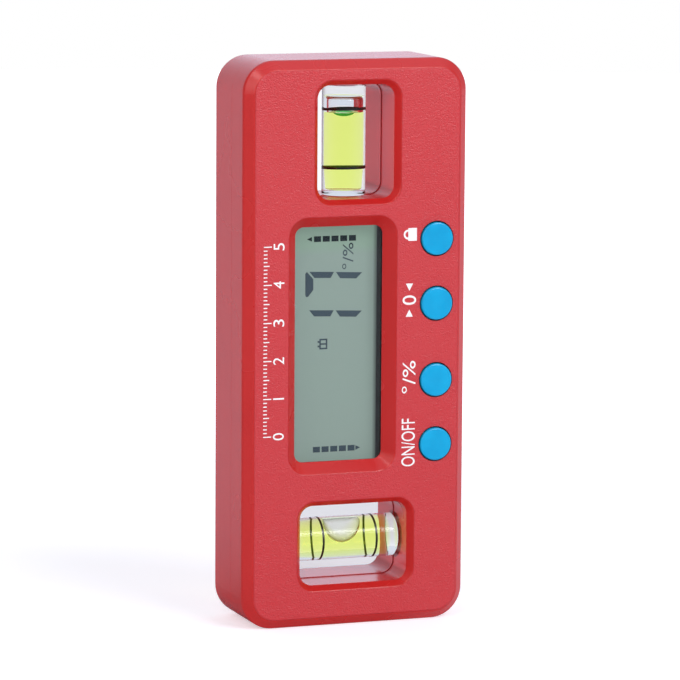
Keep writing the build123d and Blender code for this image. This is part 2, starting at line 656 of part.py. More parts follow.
def make_lcd_layers():
    """The LCD cell: two glasses with a film on each outer face, and the foam behind."""
    film_width = GLASS_WIDTH - 2 * FILM_MARGIN
    film_height = GLASS_HEIGHT - 2 * FILM_MARGIN
    front_film = display_rectangle(film_width, film_height)
    front_glass = display_rectangle(GLASS_WIDTH, GLASS_HEIGHT)
    shift = Pos(-CONTACT_LEDGE / 2, 0)
    rear_glass = shift * display_rectangle(GLASS_WIDTH - CONTACT_LEDGE, GLASS_HEIGHT)
    rear_film = shift * display_rectangle(film_width - CONTACT_LEDGE, film_height)
    cushion_width = film_width - CONTACT_LEDGE - CUSHION_MARGIN
    cushion = shift * display_rectangle(cushion_width, film_height - CUSHION_MARGIN)
    ledge_x = DISPLAY_X + (GLASS_WIDTH - CONTACT_LEDGE) / 2
    zebra_height = GLASS_HEIGHT - 2 * ZEBRA_MARGIN
    zebra = Pos(ledge_x, MIDDLE_Z) * Rectangle(ZEBRA_WIDTH, zebra_height)
    return {
        "lcd_front_polariser": slab(front_film, POLARISER_DEPTH, FRONT_GLASS_DEPTH),
        "lcd_front_glass": slab(front_glass, FRONT_GLASS_DEPTH, REAR_GLASS_DEPTH),
        "lcd_rear_glass": slab(rear_glass, REAR_GLASS_DEPTH, REFLECTOR_DEPTH),
        "lcd_reflector": slab(rear_film, REFLECTOR_DEPTH, CUSHION_DEPTH),
        "lcd_cushion": slab(cushion, CUSHION_DEPTH, BOARD_DEPTH),
        "zebra_strip": slab(zebra, REAR_GLASS_DEPTH, BOARD_DEPTH),
    }


def make_main_board():
    centre = Pos((BOARD_LEFT + BOARD_RIGHT) / 2, MIDDLE_Z)
    outline = RectangleRounded(BOARD_RIGHT - BOARD_LEFT, BOARD_HEIGHT, BOARD_CORNER)
    board = slab(centre * outline, BOARD_DEPTH, BOARD_REAR_DEPTH)
    hole = BOARD_SCREW_RADIUS + SCREW_HOLE_GAP
    near = BOARD_DEPTH - OVERSHOOT
    far = BOARD_REAR_DEPTH + OVERSHOOT
    board -= [rod(hole, x, z, near, far) for x, z in BOARD_SCREW_PLACES]
    return board - [rod(PEG_RADIUS + PEG_GAP, x, z, near, far) for x, z in PEG_PLACES]


def make_button_cap(z):
    """Domed cap with a flange under the front wall and a post that meets the switch."""
    crown_depth = BUTTON_CROWN - BUTTON_PROUD
    cap = rod(BUTTON_RADIUS, BUTTON_X, z, crown_depth, FLANGE_REAR_DEPTH)
    crown_radius = (BUTTON_RADIUS**2 + BUTTON_CROWN**2) / (2 * BUTTON_CROWN)
    crown_ball = Pos(BUTTON_X, y_at(-BUTTON_PROUD) + crown_radius, z) * Sphere(crown_radius)
    cap += crown_ball & rod(BUTTON_RADIUS, BUTTON_X, z, -2 * BUTTON_PROUD, FLANGE_REAR_DEPTH)
    rim = cap.edges().filter_by(GeomType.CIRCLE).group_by(Axis.Y)[0]
    cap = fillet(rim, BUTTON_EDGE_ROUND)
    cap += rod(BUTTON_RADIUS + FLANGE_WIDTH, BUTTON_X, z, FLANGE_DEPTH, FLANGE_REAR_DEPTH)
    hollow_depth = BUTTON_SKIN - BUTTON_PROUD
    cap -= rod(BUTTON_RADIUS - BUTTON_SIDE, BUTTON_X, z, hollow_depth, FLANGE_REAR_DEPTH)
    return cap + rod(BUTTON_POST_RADIUS, BUTTON_X, z, hollow_depth, PLUNGER_TOP_DEPTH)


def make_switch_body(z):
    square = Pos(BUTTON_X, z) * Rectangle(SWITCH_SIZE, SWITCH_SIZE)
    body = slab(square, SWITCH_TOP_DEPTH, BOARD_DEPTH)
    body = chamfer(body.edges().group_by(Axis.Y)[0], SWITCH_EDGE_BREAK)
    well = SWITCH_TOP_DEPTH + PLUNGER_ROOT + BUTTON_TRAVEL + PLUNGER_GAP
    return body - rod(PLUNGER_RADIUS + PLUNGER_GAP, BUTTON_X, z, SWITCH_TOP_DEPTH, well)


def make_switch_plunger(z):
    root = SWITCH_TOP_DEPTH + PLUNGER_ROOT
    return rod(PLUNGER_RADIUS, BUTTON_X, z, PLUNGER_TOP_DEPTH, root)


def make_components():
    """The coated controller, the tilt sensor, the crystal and a row of small capacitors."""
    chip_top = BOARD_DEPTH - CHIP_HEIGHT
    chip_centre = Pos(BUTTON_X, MIDDLE_Z)
    chip_ends = [
        face_at(chip_centre * Circle(CHIP_TOP_RADIUS), chip_top),
        face_at(chip_centre * Circle(CHIP_RADIUS), BOARD_DEPTH),
    ]
    chip = loft(chip_ends, ruled=True)
    chip = fillet(chip.edges().group_by(Axis.Y)[0], CHIP_HEIGHT / 2)
    sensor_place = Pos(COMPONENT_X, MIDDLE_Z + SENSOR_Z_OFFSET)
    sensor_square = sensor_place * Rectangle(SENSOR_SIZE, SENSOR_SIZE)
    sensor = slab(sensor_square, BOARD_DEPTH - SENSOR_HEIGHT, BOARD_DEPTH)
    crystal = Cylinder(CRYSTAL_RADIUS, CRYSTAL_LENGTH)
    crystal_y = y_at(BOARD_DEPTH - CRYSTAL_RADIUS)
    crystal = Pos(COMPONENT_X, crystal_y, MIDDLE_Z + CRYSTAL_Z_OFFSET) * crystal
    capacitors = []
    for step in range(CAPACITOR_COUNT):
        z = MIDDLE_Z + (step - (CAPACITOR_COUNT - 1) / 2) * CAPACITOR_PITCH
        chip_size = Pos(COMPONENT_X, z) * Rectangle(CAPACITOR_LENGTH, CAPACITOR_WIDTH)
        capacitors.append(slab(chip_size, BOARD_DEPTH - CAPACITOR_HEIGHT, BOARD_DEPTH))
    return {
        "controller_chip": chip,
        "tilt_sensor": sensor,
        "clock_crystal": crystal,
        "board_capacitors": Compound(children=capacitors),
    }


def make_cell(x, plus_up):
    """One cell, made with its plus end up and turned over where the other end is up."""
    can_length = CELL_LENGTH - CELL_NUB_HEIGHT
    can = Pos(0, 0, can_length / 2) * Cylinder(CELL_RADIUS, can_length)
    can = fillet(can.edges().filter_by(GeomType.CIRCLE), CELL_EDGE_ROUND)
    nub = Pos(0, 0, can_length + CELL_NUB_HEIGHT / 2) * Cylinder(CELL_NUB_RADIUS, CELL_NUB_HEIGHT)
    cell = can + nub
    leaf = CONTACT_SEAT_GAP + CONTACT_THICKNESS + CONTACT_LEAF_HEIGHT
    if plus_up:
        return Pos(x, y_at(CELL_DEPTH), COMPARTMENT_BOTTOM + leaf) * cell
    return Pos(x, y_at(CELL_DEPTH), COMPARTMENT_TOP - leaf) * Rot(180, 0, 0) * cell


def contact_leaf(x, wall_z, inward):
    """A strip bent to a low arch, standing on a contact plate and pressing on the cell's end."""
    half = CONTACT_WIDTH / 2 - CONTACT_THICKNESS
    plate_z = wall_z + inward * (CONTACT_SEAT_GAP + CONTACT_THICKNESS)
    low = plate_z - inward * CONTACT_THICKNESS / 2
    crest = plate_z + inward * (CONTACT_LEAF_HEIGHT - CONTACT_THICKNESS / 2)
    bend = half / 3
    spine = Polyline((x - half, low), (x - bend, crest), (x + bend, crest), (x + half, low))
    strip = trace(spine, line_width=CONTACT_THICKNESS)
    half_height = CONTACT_HEIGHT / 4
    return slab(strip, CELL_DEPTH - half_height, CELL_DEPTH + half_height)


def contact_plate(x_low, x_high, wall_z, inward):
    near_z = wall_z + inward * CONTACT_SEAT_GAP
    far_z = near_z + inward * CONTACT_THICKNESS
    half = CONTACT_HEIGHT / 2
    z_low, z_high = sorted((near_z, far_z))
    return block(x_low, x_high, CELL_DEPTH - half, CELL_DEPTH + half, z_low, z_high)


def contact_stud(x, wall_z, inward):
    """The raised dimple that meets a cell's plus nub."""
    length = CONTACT_THICKNESS / 2 + CONTACT_STUD_HEIGHT
    top = wall_z + inward * (CONTACT_SEAT_GAP + CONTACT_THICKNESS + CONTACT_STUD_HEIGHT)
    stud = Cylinder(CONTACT_STUD_RADIUS, length)
    return Pos(x, y_at(CELL_DEPTH), top - inward * length / 2) * stud


def contact_tab(x):
    """The tab that carries a contact through the compartment's lower wall to its lead."""
    half = CONTACT_TAB_WIDTH / 2
    low = DOOR_BOTTOM - CONTACT_TAB_REACH
    high = COMPARTMENT_BOTTOM + CONTACT_SEAT_GAP + CONTACT_THICKNESS
    edge = CONTACT_THICKNESS / 2
    return block(x - half, x + half, CELL_DEPTH - edge, CELL_DEPTH + edge, low, high)


def make_contacts():
    right = CELL_PITCH / 2
    half = CONTACT_WIDTH / 2
    bridge = contact_plate(-right - half, right + half, COMPARTMENT_TOP, -1)
    bridge += contact_stud(-right, COMPARTMENT_TOP, -1)
    bridge += contact_leaf(right, COMPARTMENT_TOP, -1)
    negative = contact_plate(-right - half, -right + half, COMPARTMENT_BOTTOM, 1)
    negative += contact_leaf(-right, COMPARTMENT_BOTTOM, 1)
    negative += contact_tab(-right)
    positive = contact_plate(right - half, right + half, COMPARTMENT_BOTTOM, 1)
    positive += contact_stud(right, COMPARTMENT_BOTTOM, 1)
    positive += contact_tab(right)
    return {
        "bridge_contact": bridge,
        "negative_contact": negative,
        "positive_contact": positive,
    }


def make_lead(side):
    """An insulated lead from a contact tab, down and forward to the back of the board."""
    x = side * CELL_PITCH / 2
    start = Vector(x, y_at(CELL_DEPTH), DOOR_BOTTOM - CONTACT_TAB_REACH)
    corner = start - Vector(0, 0, LEAD_DROP)
    end = Vector(x, y_at(BOARD_REAR_DEPTH), corner.Z)
    path = FilletPolyline(start, corner, end, radius=LEAD_BEND)
    section = Plane(start, z_dir=(0, 0, -1)) * Circle(LEAD_RADIUS)
    return sweep(section, path)


def bore_solid(gap):
    """The vial's barrel-shaped chamber along Z, taken in by a gap."""
    end_radius = BORE_RADIUS - gap
    half = CHAMBER_LENGTH / 2 - gap
    side = ThreePointArc((end_radius, -half), (end_radius + BORE_BARREL, 0), (end_radius, half))
    rest = Polyline((end_radius, half), (0, half), (0, -half), (end_radius, -half))
    return revolve(Plane.XZ * make_face(side + rest), Axis.Z)


def vial_tube(drop):
    """Clear moulded tube along Z, with a pin below and a bore from above for the plug."""
    half = VIAL_LENGTH / 2
    mouth_end = half - VIAL_MOUTH_INSET
    tube = Pos(0, 0, (mouth_end - half) / 2) * Cylinder(VIAL_RADIUS, mouth_end + half)
    tube = chamfer(tube.edges().filter_by(GeomType.CIRCLE), VIAL_EDGE_BREAK)
    pin_length = VIAL_PIN_LENGTH + OVERSHOOT
    tube += Pos(0, 0, OVERSHOOT - half - pin_length / 2) * Cylinder(VIAL_PIN_RADIUS, pin_length)
    mouth_low = CHAMBER_LENGTH / 2 - drop
    mouth = Pos(0, 0, (mouth_low + half) / 2) * Cylinder(BORE_RADIUS, half - mouth_low)
    return tube - Pos(0, 0, -drop) * bore_solid(0) - mouth


def vial_plug(drop):
    """The plug that closes the bore, with the vial's other pin on it."""
    half = VIAL_LENGTH / 2
    low = CHAMBER_LENGTH / 2 - drop
    mouth_end = half - VIAL_MOUTH_INSET
    pin_end = half + VIAL_PIN_LENGTH
    plug = Pos(0, 0, (low + mouth_end) / 2) * Cylinder(BORE_RADIUS - LIQUID_GAP, mouth_end - low)
    pin = Cylinder(VIAL_PIN_RADIUS, pin_end - mouth_end)
    return plug + Pos(0, 0, (mouth_end + pin_end) / 2) * pin


def level_ball(grow):
    """The ball that domes the underside of the air, before the chamber is lowered."""
    wide = BORE_RADIUS - BUBBLE_GAP
    radius = (wide**2 + LEVEL_BUBBLE_DOME**2) / (2 * LEVEL_BUBBLE_DOME)
    low = CHAMBER_LENGTH / 2 - BUBBLE_GAP - LEVEL_BUBBLE_HEIGHT
    return Pos(0, 0, low + radius) * Sphere(radius + grow)


def make_level_vial():
    """The upper vial stands on end, so its air gathers under the plug."""
    half = CHAMBER_LENGTH / 2
    top = half - BUBBLE_GAP
    column = Cylinder(BORE_RADIUS - BUBBLE_GAP, LEVEL_BUBBLE_HEIGHT)
    column = Pos(0, 0, top - LEVEL_BUBBLE_HEIGHT / 2) * column
    rim = top - LEVEL_BUBBLE_HEIGHT + LEVEL_BUBBLE_DOME
    dome_top = Pos(0, 0, rim - half) * Cylinder(VIAL_RADIUS, 2 * half)
    air = column - (dome_top - level_ball(0))
    above = Pos(0, 0, rim - BUBBLE_GAP + half) * Cylinder(VIAL_RADIUS, 2 * half)
    liquid = bore_solid(LIQUID_GAP) - above - level_ball(BUBBLE_GAP)
    lowered = Pos(0, 0, -LEVEL_CHAMBER_DROP)
    return {
        "level_vial_tube": along_z(vial_tube(LEVEL_CHAMBER_DROP)),
        "level_vial_plug": along_z(vial_plug(LEVEL_CHAMBER_DROP)),
        "level_vial_liquid": along_z(lowered * liquid),
        "level_vial_bubble": along_z(lowered * air),
    }


def plumb_ball(grow):
    """The ball that gives the bubble its length and depth under the bore's upper wall."""
    radius = ((PLUMB_BUBBLE_LENGTH / 2) ** 2 + PLUMB_BUBBLE_DEPTH**2) / (2 * PLUMB_BUBBLE_DEPTH)
    centre_z = PLUMB_Z + BORE_RADIUS - PLUMB_BUBBLE_DEPTH + radius
    return Pos(0, y_at(SEAM_DEPTH), centre_z) * Sphere(radius + grow)


def make_plumb_vial():
    """The lower vial lies level, so its bubble rides at the middle of the bore's upper wall."""
    bubble_bore = Cylinder(BORE_RADIUS - BUBBLE_GAP, CHAMBER_LENGTH)
    return {
        "plumb_vial_tube": along_x(vial_tube(0)),
        "plumb_vial_plug": along_x(vial_plug(0)),
        "plumb_vial_liquid": along_x(bore_solid(LIQUID_GAP)) - plumb_ball(LIQUID_GAP),
        "plumb_vial_bubble": along_x(bubble_bore) & plumb_ball(0),
    }


def make_all():
    parts = {
        "front_shell": make_front_shell(),
        "rear_shell": make_rear_shell(),
        "battery_door": make_battery_door(),
        "case_screws": Compound(children=[make_case_screw(x, z) for x, z in SCREW_PLACES]),
        "base_magnets": Compound(children=[make_base_magnet(z) for z in MAGNET_PLACES]),
        "display_window": make_display_window(),
        "lcd_bezel": make_lcd_bezel(),
        "main_board": make_main_board(),
        "board_screws": Compound(
            children=[make_board_screw(x, z) for x, z in BOARD_SCREW_PLACES]
        ),
        "battery_left": make_cell(-CELL_PITCH / 2, True),
        "battery_right": make_cell(CELL_PITCH / 2, False),
        "negative_lead": make_lead(-1),
        "positive_lead": make_lead(1),
    }
    parts.update(make_lcd_layers())
    parts.update(make_components())
    parts.update(make_contacts())
    parts.update(make_level_vial())
    parts.update(make_plumb_vial())
    for name, z in BUTTON_PLACES.items():
        parts[name + "_button"] = make_button_cap(z)
        parts[name + "_switch_body"] = make_switch_body(z)
        parts[name + "_switch_plunger"] = make_switch_plunger(z)
    return parts


os.makedirs("parts", exist_ok=True)
for node, shape in make_all().items():
    export_step(shape, os.path.join("parts", node + ".step"))
    print(node, round(shape.volume, 2))
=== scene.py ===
import math

import bmesh
import bpy
from mathutils import Matrix, Vector


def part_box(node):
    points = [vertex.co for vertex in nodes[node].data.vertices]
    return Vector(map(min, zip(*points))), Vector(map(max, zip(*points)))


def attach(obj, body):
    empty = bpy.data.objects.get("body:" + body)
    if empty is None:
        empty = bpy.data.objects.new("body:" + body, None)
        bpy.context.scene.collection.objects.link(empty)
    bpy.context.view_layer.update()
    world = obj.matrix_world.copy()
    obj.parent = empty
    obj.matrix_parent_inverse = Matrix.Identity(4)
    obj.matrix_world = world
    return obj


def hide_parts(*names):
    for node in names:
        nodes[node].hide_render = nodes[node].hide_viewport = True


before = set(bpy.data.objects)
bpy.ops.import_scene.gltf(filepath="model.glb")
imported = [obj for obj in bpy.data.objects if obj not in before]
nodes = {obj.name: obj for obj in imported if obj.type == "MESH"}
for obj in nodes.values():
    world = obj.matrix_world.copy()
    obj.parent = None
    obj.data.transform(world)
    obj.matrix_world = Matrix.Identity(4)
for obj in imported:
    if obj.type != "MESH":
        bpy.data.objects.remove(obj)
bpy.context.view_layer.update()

# Digital spirit level. Metres, in the CAD frame: X across, Y from front to back, Z up.

# Case shells
# Two halves of injection-moulded red ABS, held together by four screws from the back. The tool
# was spark-eroded, so the flat faces have a fine matte grain and the bevels are smoother.
MM = 0.001
PLASTIC_IOR = 1.5
NOISE_SPAN = (0.3, 0.7)
GRAIN_SPAN = (0.6, 1.4)
GRAIN_DETAIL = 3.0
FINE_GRAIN_SHARE = 1.2
CASE_GRAIN_WAVES = 2900.0
CASE_TONE_WAVES = 38.0
CASE_POLISH = (0.26, 0.28)
CASE_MATTE = (0.06, 0.16)
CASE_RELIEF = 0.12 * MM
RED_DEEP = (0.46, 0.011, 0.011, 1)
RED_PALE = (0.55, 0.018, 0.017, 1)
# A paler, bluer red for the grained flat faces: partly the grain's own tone, partly painted sheen.
RED_GRAIN_AND_SHEEN = (0.555, 0.031, 0.042, 1)
# A paler red for the walls inside the windows: painted light.
RED_WALL_PAINTED_LIGHT = (0.76, 0.048, 0.056, 1)
RED_GRAIN_SHARE = 0.8
GRAIN_TONE = 0.6
FLAT_FACING = (0.92, 0.98)
WALL_FACING = (0.9, 0.98)
SIDE_FACING = (0.06, 0.16)
SIDE_GRAIN = 0.12
WINDOWS_TO_SIDES = (17.0 * MM, 18.0 * MM)
WINDOWS_TO_ENDS = (70.0 * MM, 71.0 * MM)
MIDDLE_Z = 75.0 * MM
SEAM_Y = -0.5 * MM
# The painted shade along the parting line inside the windows.
SEAM_EDGE = (0.10 * MM, 0.16 * MM)
SEAM_PAINTED_SHADE = (0.20, 0.008, 0.010, 1)
# The painted shade on the walls of the button holes.
HOLE_RADIUS = 4.65 * MM
HOLE_EDGE = (HOLE_RADIUS + 0.02 * MM, HOLE_RADIUS + 0.10 * MM)
HOLE_PAINTED_SHADE = (0.05, 0.003, 0.004, 1)
# The painted contact shadow on the window wall round the lower vial's ends.
SEAT_EDGE = (0.1 * MM, 0.7 * MM)
SEAT_PAINTED_SHADOW = (0.24, 0.005, 0.004, 1)


def feed(tree, socket, value):
    """Links a socket to the output that feeds it, or sets its plain value."""
    if isinstance(value, bpy.types.NodeSocket):
        tree.links.new(value, socket)
    else:
        socket.default_value = value


def add_node(tree, kind, settings=(), **inputs):
    """Adds a shader node; settings are its options, and inputs its sockets by name."""
    node = tree.nodes.new("ShaderNode" + kind)
    for option, value in settings:
        setattr(node, option, value)
    for label, value in inputs.items():
        feed(tree, node.inputs[label.replace("_", " ")], value)
    return node


def calculate(tree, operation, first, second=0.0, third=0.0):
    """The output of a Math node."""
    node = add_node(tree, "Math", [("operation", operation)])
    for socket, value in zip(node.inputs, (first, second, third)):
        feed(tree, socket, value)
    return node.outputs[0]


def spread(tree, value, low, high, new_low=0.0, new_high=1.0):
    """Maps a value from one range to another, held at its ends."""
    node = add_node(
        tree, "MapRange",
        Value=value, From_Min=low, From_Max=high, To_Min=new_low, To_Max=new_high,
    )
    return node.outputs["Result"]


def mix_colours(tree, share, first, second):
    """The colour between two colours, or two colour sockets."""
    node = add_node(tree, "Mix", [("data_type", "RGBA")])
    feed(tree, node.inputs[0], share)
    feed(tree, node.inputs[6], first)
    feed(tree, node.inputs[7], second)
    return node.outputs[2]


def place_on(tree):
    """The point's own place on the object."""
    return add_node(tree, "TexCoord").outputs["Object"]


def axes_of(tree, vector):
    """The X, Y and Z of a vector."""
    return add_node(tree, "SeparateXYZ", Vector=vector).outputs


def off_centre(tree, value, centre):
    """How far a value lies from a centre, to either side."""
    return calculate(tree, "ABSOLUTE", calculate(tree, "SUBTRACT", value, centre))


def off_axis(tree, first, second):
    """How far a point lies from an axis, given its distances across and up."""
    squares = [calculate(tree, "POWER", distance, 2.0) for distance in (first, second)]
    return calculate(tree, "SQRT", calculate(tree, "ADD", *squares))


def noise(tree, place, waves, detail=2.0):
    """A soft noise value; waves are to the metre."""
    return add_node(tree, "TexNoise", Vector=place, Scale=waves, Detail=detail).outputs["Fac"]


def new_material(name, **sockets):
    """A Principled material, with the values that are the same all over set on the shader."""
    material = bpy.data.materials.new(name)
    material.use_nodes = True
    shader = material.node_tree.nodes["Principled BSDF"]
    for label, value in sockets.items():
        shader.inputs[label.replace("_", " ")].default_value = value
    return material, material.node_tree, shader


def bump(tree, shader, height, strength, depth):
    """Gives a shader a relief from a height."""
    node = add_node(tree, "Bump", Height=height, Strength=strength, Distance=depth)
    tree.links.new(node.outputs["Normal"], shader.inputs["Normal"])


def start_group(name, inputs, outputs):
    """An empty shader node group with named number inputs and outputs, and its two ends."""
    group = bpy.data.node_groups.new(name, "ShaderNodeTree")
    for label in inputs:
        group.interface.new_socket(label, in_out="INPUT", socket_type="NodeSocketFloat")
    for label in outputs:
        group.interface.new_socket(label, in_out="OUTPUT", socket_type="NodeSocketFloat")
    return group, group.nodes.new("NodeGroupInput"), group.nodes.new("NodeGroupOutput")


def place_group(tree, group, **inputs):
    """Puts a node group in a material, with its own values."""
    return add_node(tree, "Group", [("node_tree", group)], **inputs).outputs


def build_moulded_grain():
    """The relief of a spark-eroded tool, and the slow change of tone in moulded plastic."""
    group, given, made = start_group(
        "moulded_grain", ["Grain Scale", "Tone Scale"], ["Grain", "Tone"],
    )
    place = place_on(group)
    waves = given.outputs["Grain Scale"]
    fine = noise(group, place, waves, GRAIN_DETAIL)
    pits = add_node(
        group, "TexVoronoi", [("feature", "SMOOTH_F1")], Vector=place, Scale=waves,
    ).outputs["Distance"]
    grain = calculate(group, "MULTIPLY_ADD", fine, FINE_GRAIN_SHARE, pits)
    feed(group, made.inputs["Grain"], grain)
    tone = noise(group, place, given.outputs["Tone Scale"], GRAIN_DETAIL)
    feed(group, made.inputs["Tone"], spread(group, tone, *NOISE_SPAN))
    return group


def button_holes(tree, place):
    """Is 1 on the walls of the four button holes, where shade is painted, and 0 elsewhere."""
    low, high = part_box("hold_button")
    inner_low, inner_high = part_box("zero_button")
    outer = (low.z + high.z) / 2 - MIDDLE_Z
    inner = (inner_low.z + inner_high.z) / 2 - MIDDLE_Z
    along = off_centre(tree, place["Z"], MIDDLE_Z)
    for fold in ((outer + inner) / 2, (outer - inner) / 2):
        along = off_centre(tree, along, fold)
    across = calculate(tree, "SUBTRACT", place["X"], (low.x + high.x) / 2)
    hole = spread(tree, off_axis(tree, along, across), *HOLE_EDGE, 1.0, 0.0)
    in_front = spread(tree, place["Y"], SEAM_Y, 0.0, 1.0, 0.0)
    return calculate(tree, "MULTIPLY", hole, in_front)


def vial_seats(tree, place):
    """Is 1 on the window's walls where the lower vial's ends meet them: a painted contact shadow.
    """
    low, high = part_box("plumb_vial_tube")
    radius = (high.z - low.z) / 2
    deep = calculate(tree, "SUBTRACT", place["Y"], (low.y + high.y) / 2)
    up = calculate(tree, "SUBTRACT", place["Z"], (low.z + high.z) / 2)
    edge = [radius + distance for distance in SEAT_EDGE]
    return spread(tree, off_axis(tree, deep, up), *edge, 1.0, 0.0)


def build_red_abs():
    """Red ABS: grained on its flat outer faces, polished on the bevels and in the windows, with
    painted light and shade.
    """
    material, tree, shader = new_material("red_abs", IOR=PLASTIC_IOR)
    surface = place_group(
        tree, moulded_grain, Grain_Scale=CASE_GRAIN_WAVES, Tone_Scale=CASE_TONE_WAVES,
    )
    normal = axes_of(tree, add_node(tree, "TexCoord").outputs["Normal"])
    facing = calculate(tree, "ABSOLUTE", normal["Y"])
    place = axes_of(tree, place_on(tree))
    aside = spread(tree, calculate(tree, "ABSOLUTE", place["X"]), *WINDOWS_TO_SIDES)
    beyond = spread(tree, off_centre(tree, place["Z"], MIDDLE_Z), *WINDOWS_TO_ENDS)
    outside = calculate(tree, "MAXIMUM", aside, beyond)
    within = calculate(tree, "SUBTRACT", 1.0, outside)
    flat = spread(tree, facing, *FLAT_FACING)
    side = spread(tree, facing, *SIDE_FACING, SIDE_GRAIN, 0.0)
    side = calculate(tree, "MULTIPLY", side, outside)

    tone = calculate(tree, "MULTIPLY_ADD", surface["Grain"], GRAIN_TONE, surface["Tone"])
    colour = mix_colours(tree, tone, RED_DEEP, RED_PALE)
    # The grained faces take the paler, bluer red: partly grain, partly painted sheen.
    grain_and_sheen = calculate(tree, "MULTIPLY", flat, RED_GRAIN_SHARE)
    colour = mix_colours(tree, grain_and_sheen, colour, RED_GRAIN_AND_SHEEN)
    # The walls inside the windows take a paler red: painted light, for the light that reaches them
    # through the window.
    painted_light_wall = spread(tree, calculate(tree, "ABSOLUTE", normal["X"]), *WALL_FACING)
    painted_light_wall = calculate(tree, "MULTIPLY", painted_light_wall, within)
    colour = mix_colours(tree, painted_light_wall, colour, RED_WALL_PAINTED_LIGHT)
    # A painted contact shadow where the lower vial's ends meet the window wall.
    seat_shadow = calculate(tree, "MULTIPLY", painted_light_wall, vial_seats(tree, place))
    colour = mix_colours(tree, seat_shadow, colour, SEAT_PAINTED_SHADOW)
    # Painted shade along the parting line's groove inside the windows, which is also made fully
    # rough.
    painted_seam_shade = spread(tree, off_centre(tree, place["Y"], SEAM_Y), *SEAM_EDGE, 1.0, 0.0)
    painted_seam_shade = calculate(tree, "MULTIPLY", painted_seam_shade, within)
    colour = mix_colours(tree, painted_seam_shade, colour, SEAM_PAINTED_SHADE)
    # Painted shade on the walls of the four button holes.
    colour = mix_colours(tree, button_holes(tree, place), colour, HOLE_PAINTED_SHADE)
    feed(tree, shader.inputs["Base Color"], colour)

    polish = spread(tree, surface["Tone"], 0.0, 1.0, *CASE_POLISH)
    matte = spread(tree, surface["Grain"], *GRAIN_SPAN, *CASE_MATTE)
    rough = calculate(tree, "MULTIPLY_ADD", matte, flat, polish)
    feed(tree, shader.inputs["Roughness"], calculate(tree, "MAXIMUM", rough, painted_seam_shade))
    height = calculate(tree, "MULTIPLY", surface["Grain"], calculate(tree, "ADD", flat, side))
    bump(tree, shader, height, 1.0, CASE_RELIEF)
    return material


def dress(material, *names):
    """Gives CAD nodes their finish."""
    for name in names:
        nodes[name].material_slots[0].material = material


moulded_grain = build_moulded_grain()
red_abs = build_red_abs()
dress(red_abs, "front_shell", "rear_shell")

# White print on the front
# A pad-printed measuring scale along the left edge, and a plain mark beside each button. The
# ink stands a few hundredths of a millimetre proud of the grain and is satin white.
PRINT_THICKNESS = 0.03 * MM
PRINT_SINK = 0.012 * MM
SHARP_EDGE = math.radians(30)
WELD = 1e-7
READ_UP = Matrix(((0, -1, 0), (0, 0, -1), (1, 0, 0))).to_4x4()
INK_DEEP = (0.78, 0.78, 0.80, 1)
INK_PALE = (0.92, 0.92, 0.93, 1)
INK_FILM_WAVES = 1500.0
INK_SKIN_WAVES = 2600.0
INK_ROUGH = (0.42, 0.58)
INK_RELIEF = 0.25
SKIN_DEPTH = 0.02 * MM


def add_plate(bm, outline, face_y, thickness):
    """A closed plate with an outline of (x, z) corners in millimetres, its face at face_y."""
    corners = [bm.verts.new((x * MM, face_y + thickness, z * MM)) for x, z in outline]
    raised = bmesh.ops.extrude_face_region(bm, geom=[bm.faces.new(corners)])
    moved = [item for item in raised["geom"] if isinstance(item, bmesh.types.BMVert)]
    bmesh.ops.translate(bm, vec=(0, -thickness, 0), verts=moved)


def bar(x, z, width, height):
    """The outline of a bar, given its middle and its size across and up."""
    left, right = x - width / 2, x + width / 2
    low, high = z - height / 2, z + height / 2
    return [(left, low), (right, low), (right, high), (left, high)]


def add_lettering(bm, text, length, height, x, z, face_y, thickness):
    """Raised characters that read upwards, of a given size, centred on (x, z) in millimetres."""
    letters = bpy.data.curves.new("lettering", "FONT")
    letters.body = text
    letters.extrude = 0.5
    holder = bpy.data.objects.new("lettering", letters)
    mesh = bpy.data.meshes.new_from_object(holder)
    corners = [vertex.co for vertex in mesh.vertices]
    low = Vector([min(corner[axis] for corner in corners) for axis in range(3)])
    high = Vector([max(corner[axis] for corner in corners) for axis in range(3)])
    size = high - low
    scale = Matrix.Diagonal((length * MM / size.x, height * MM / size.y, thickness / size.z, 1))
    middle = Vector((x * MM, face_y + thickness / 2, z * MM))
    centred = Matrix.Translation(-(low + high) / 2)
    mesh.transform(Matrix.Translation(middle) @ READ_UP @ scale @ centred)
    bm.from_mesh(mesh)
    bpy.data.objects.remove(holder)
    bpy.data.curves.remove(letters)
    bpy.data.meshes.remove(mesh)


def finish_piece(bm, name, material, body, stands_for=()):
    """Turns a bmesh into a piece of the model, with its sharp edges kept sharp."""
    bmesh.ops.remove_doubles(bm, verts=bm.verts[:], dist=WELD)
    bmesh.ops.recalc_face_normals(bm, faces=bm.faces[:])
    for face in bm.faces:
        face.smooth = True
    for edge in bm.edges:
        edge.smooth = len(edge.link_faces) == 2 and edge.calc_face_angle() < SHARP_EDGE
    mesh = bpy.data.meshes.new(name)
    bm.to_mesh(mesh)
    bm.free()
    mesh.materials.append(material)
    piece = bpy.data.objects.new(name, mesh)
    bpy.context.scene.collection.objects.link(piece)
    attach(piece, body)
    if stands_for:
        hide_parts(*stands_for)
    return piece


def build_print_ink():
    """Satin white ink, a little thinner in places."""
    material, tree, shader = new_material("print_ink", IOR=PLASTIC_IOR)
    place = place_on(tree)
    film = noise(tree, place, INK_FILM_WAVES, GRAIN_DETAIL)
    feed(tree, shader.inputs["Base Color"], mix_colours(tree, film, INK_DEEP, INK_PALE))
    feed(tree, shader.inputs["Roughness"], spread(tree, film, *NOISE_SPAN, *INK_ROUGH))
    bump(tree, shader, noise(tree, place, INK_SKIN_WAVES), INK_RELIEF, SKIN_DEPTH)
    return material


print_ink = build_print_ink()
print_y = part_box("front_shell")[0].y - PRINT_THICKNESS
print_depth = PRINT_THICKNESS + PRINT_SINK

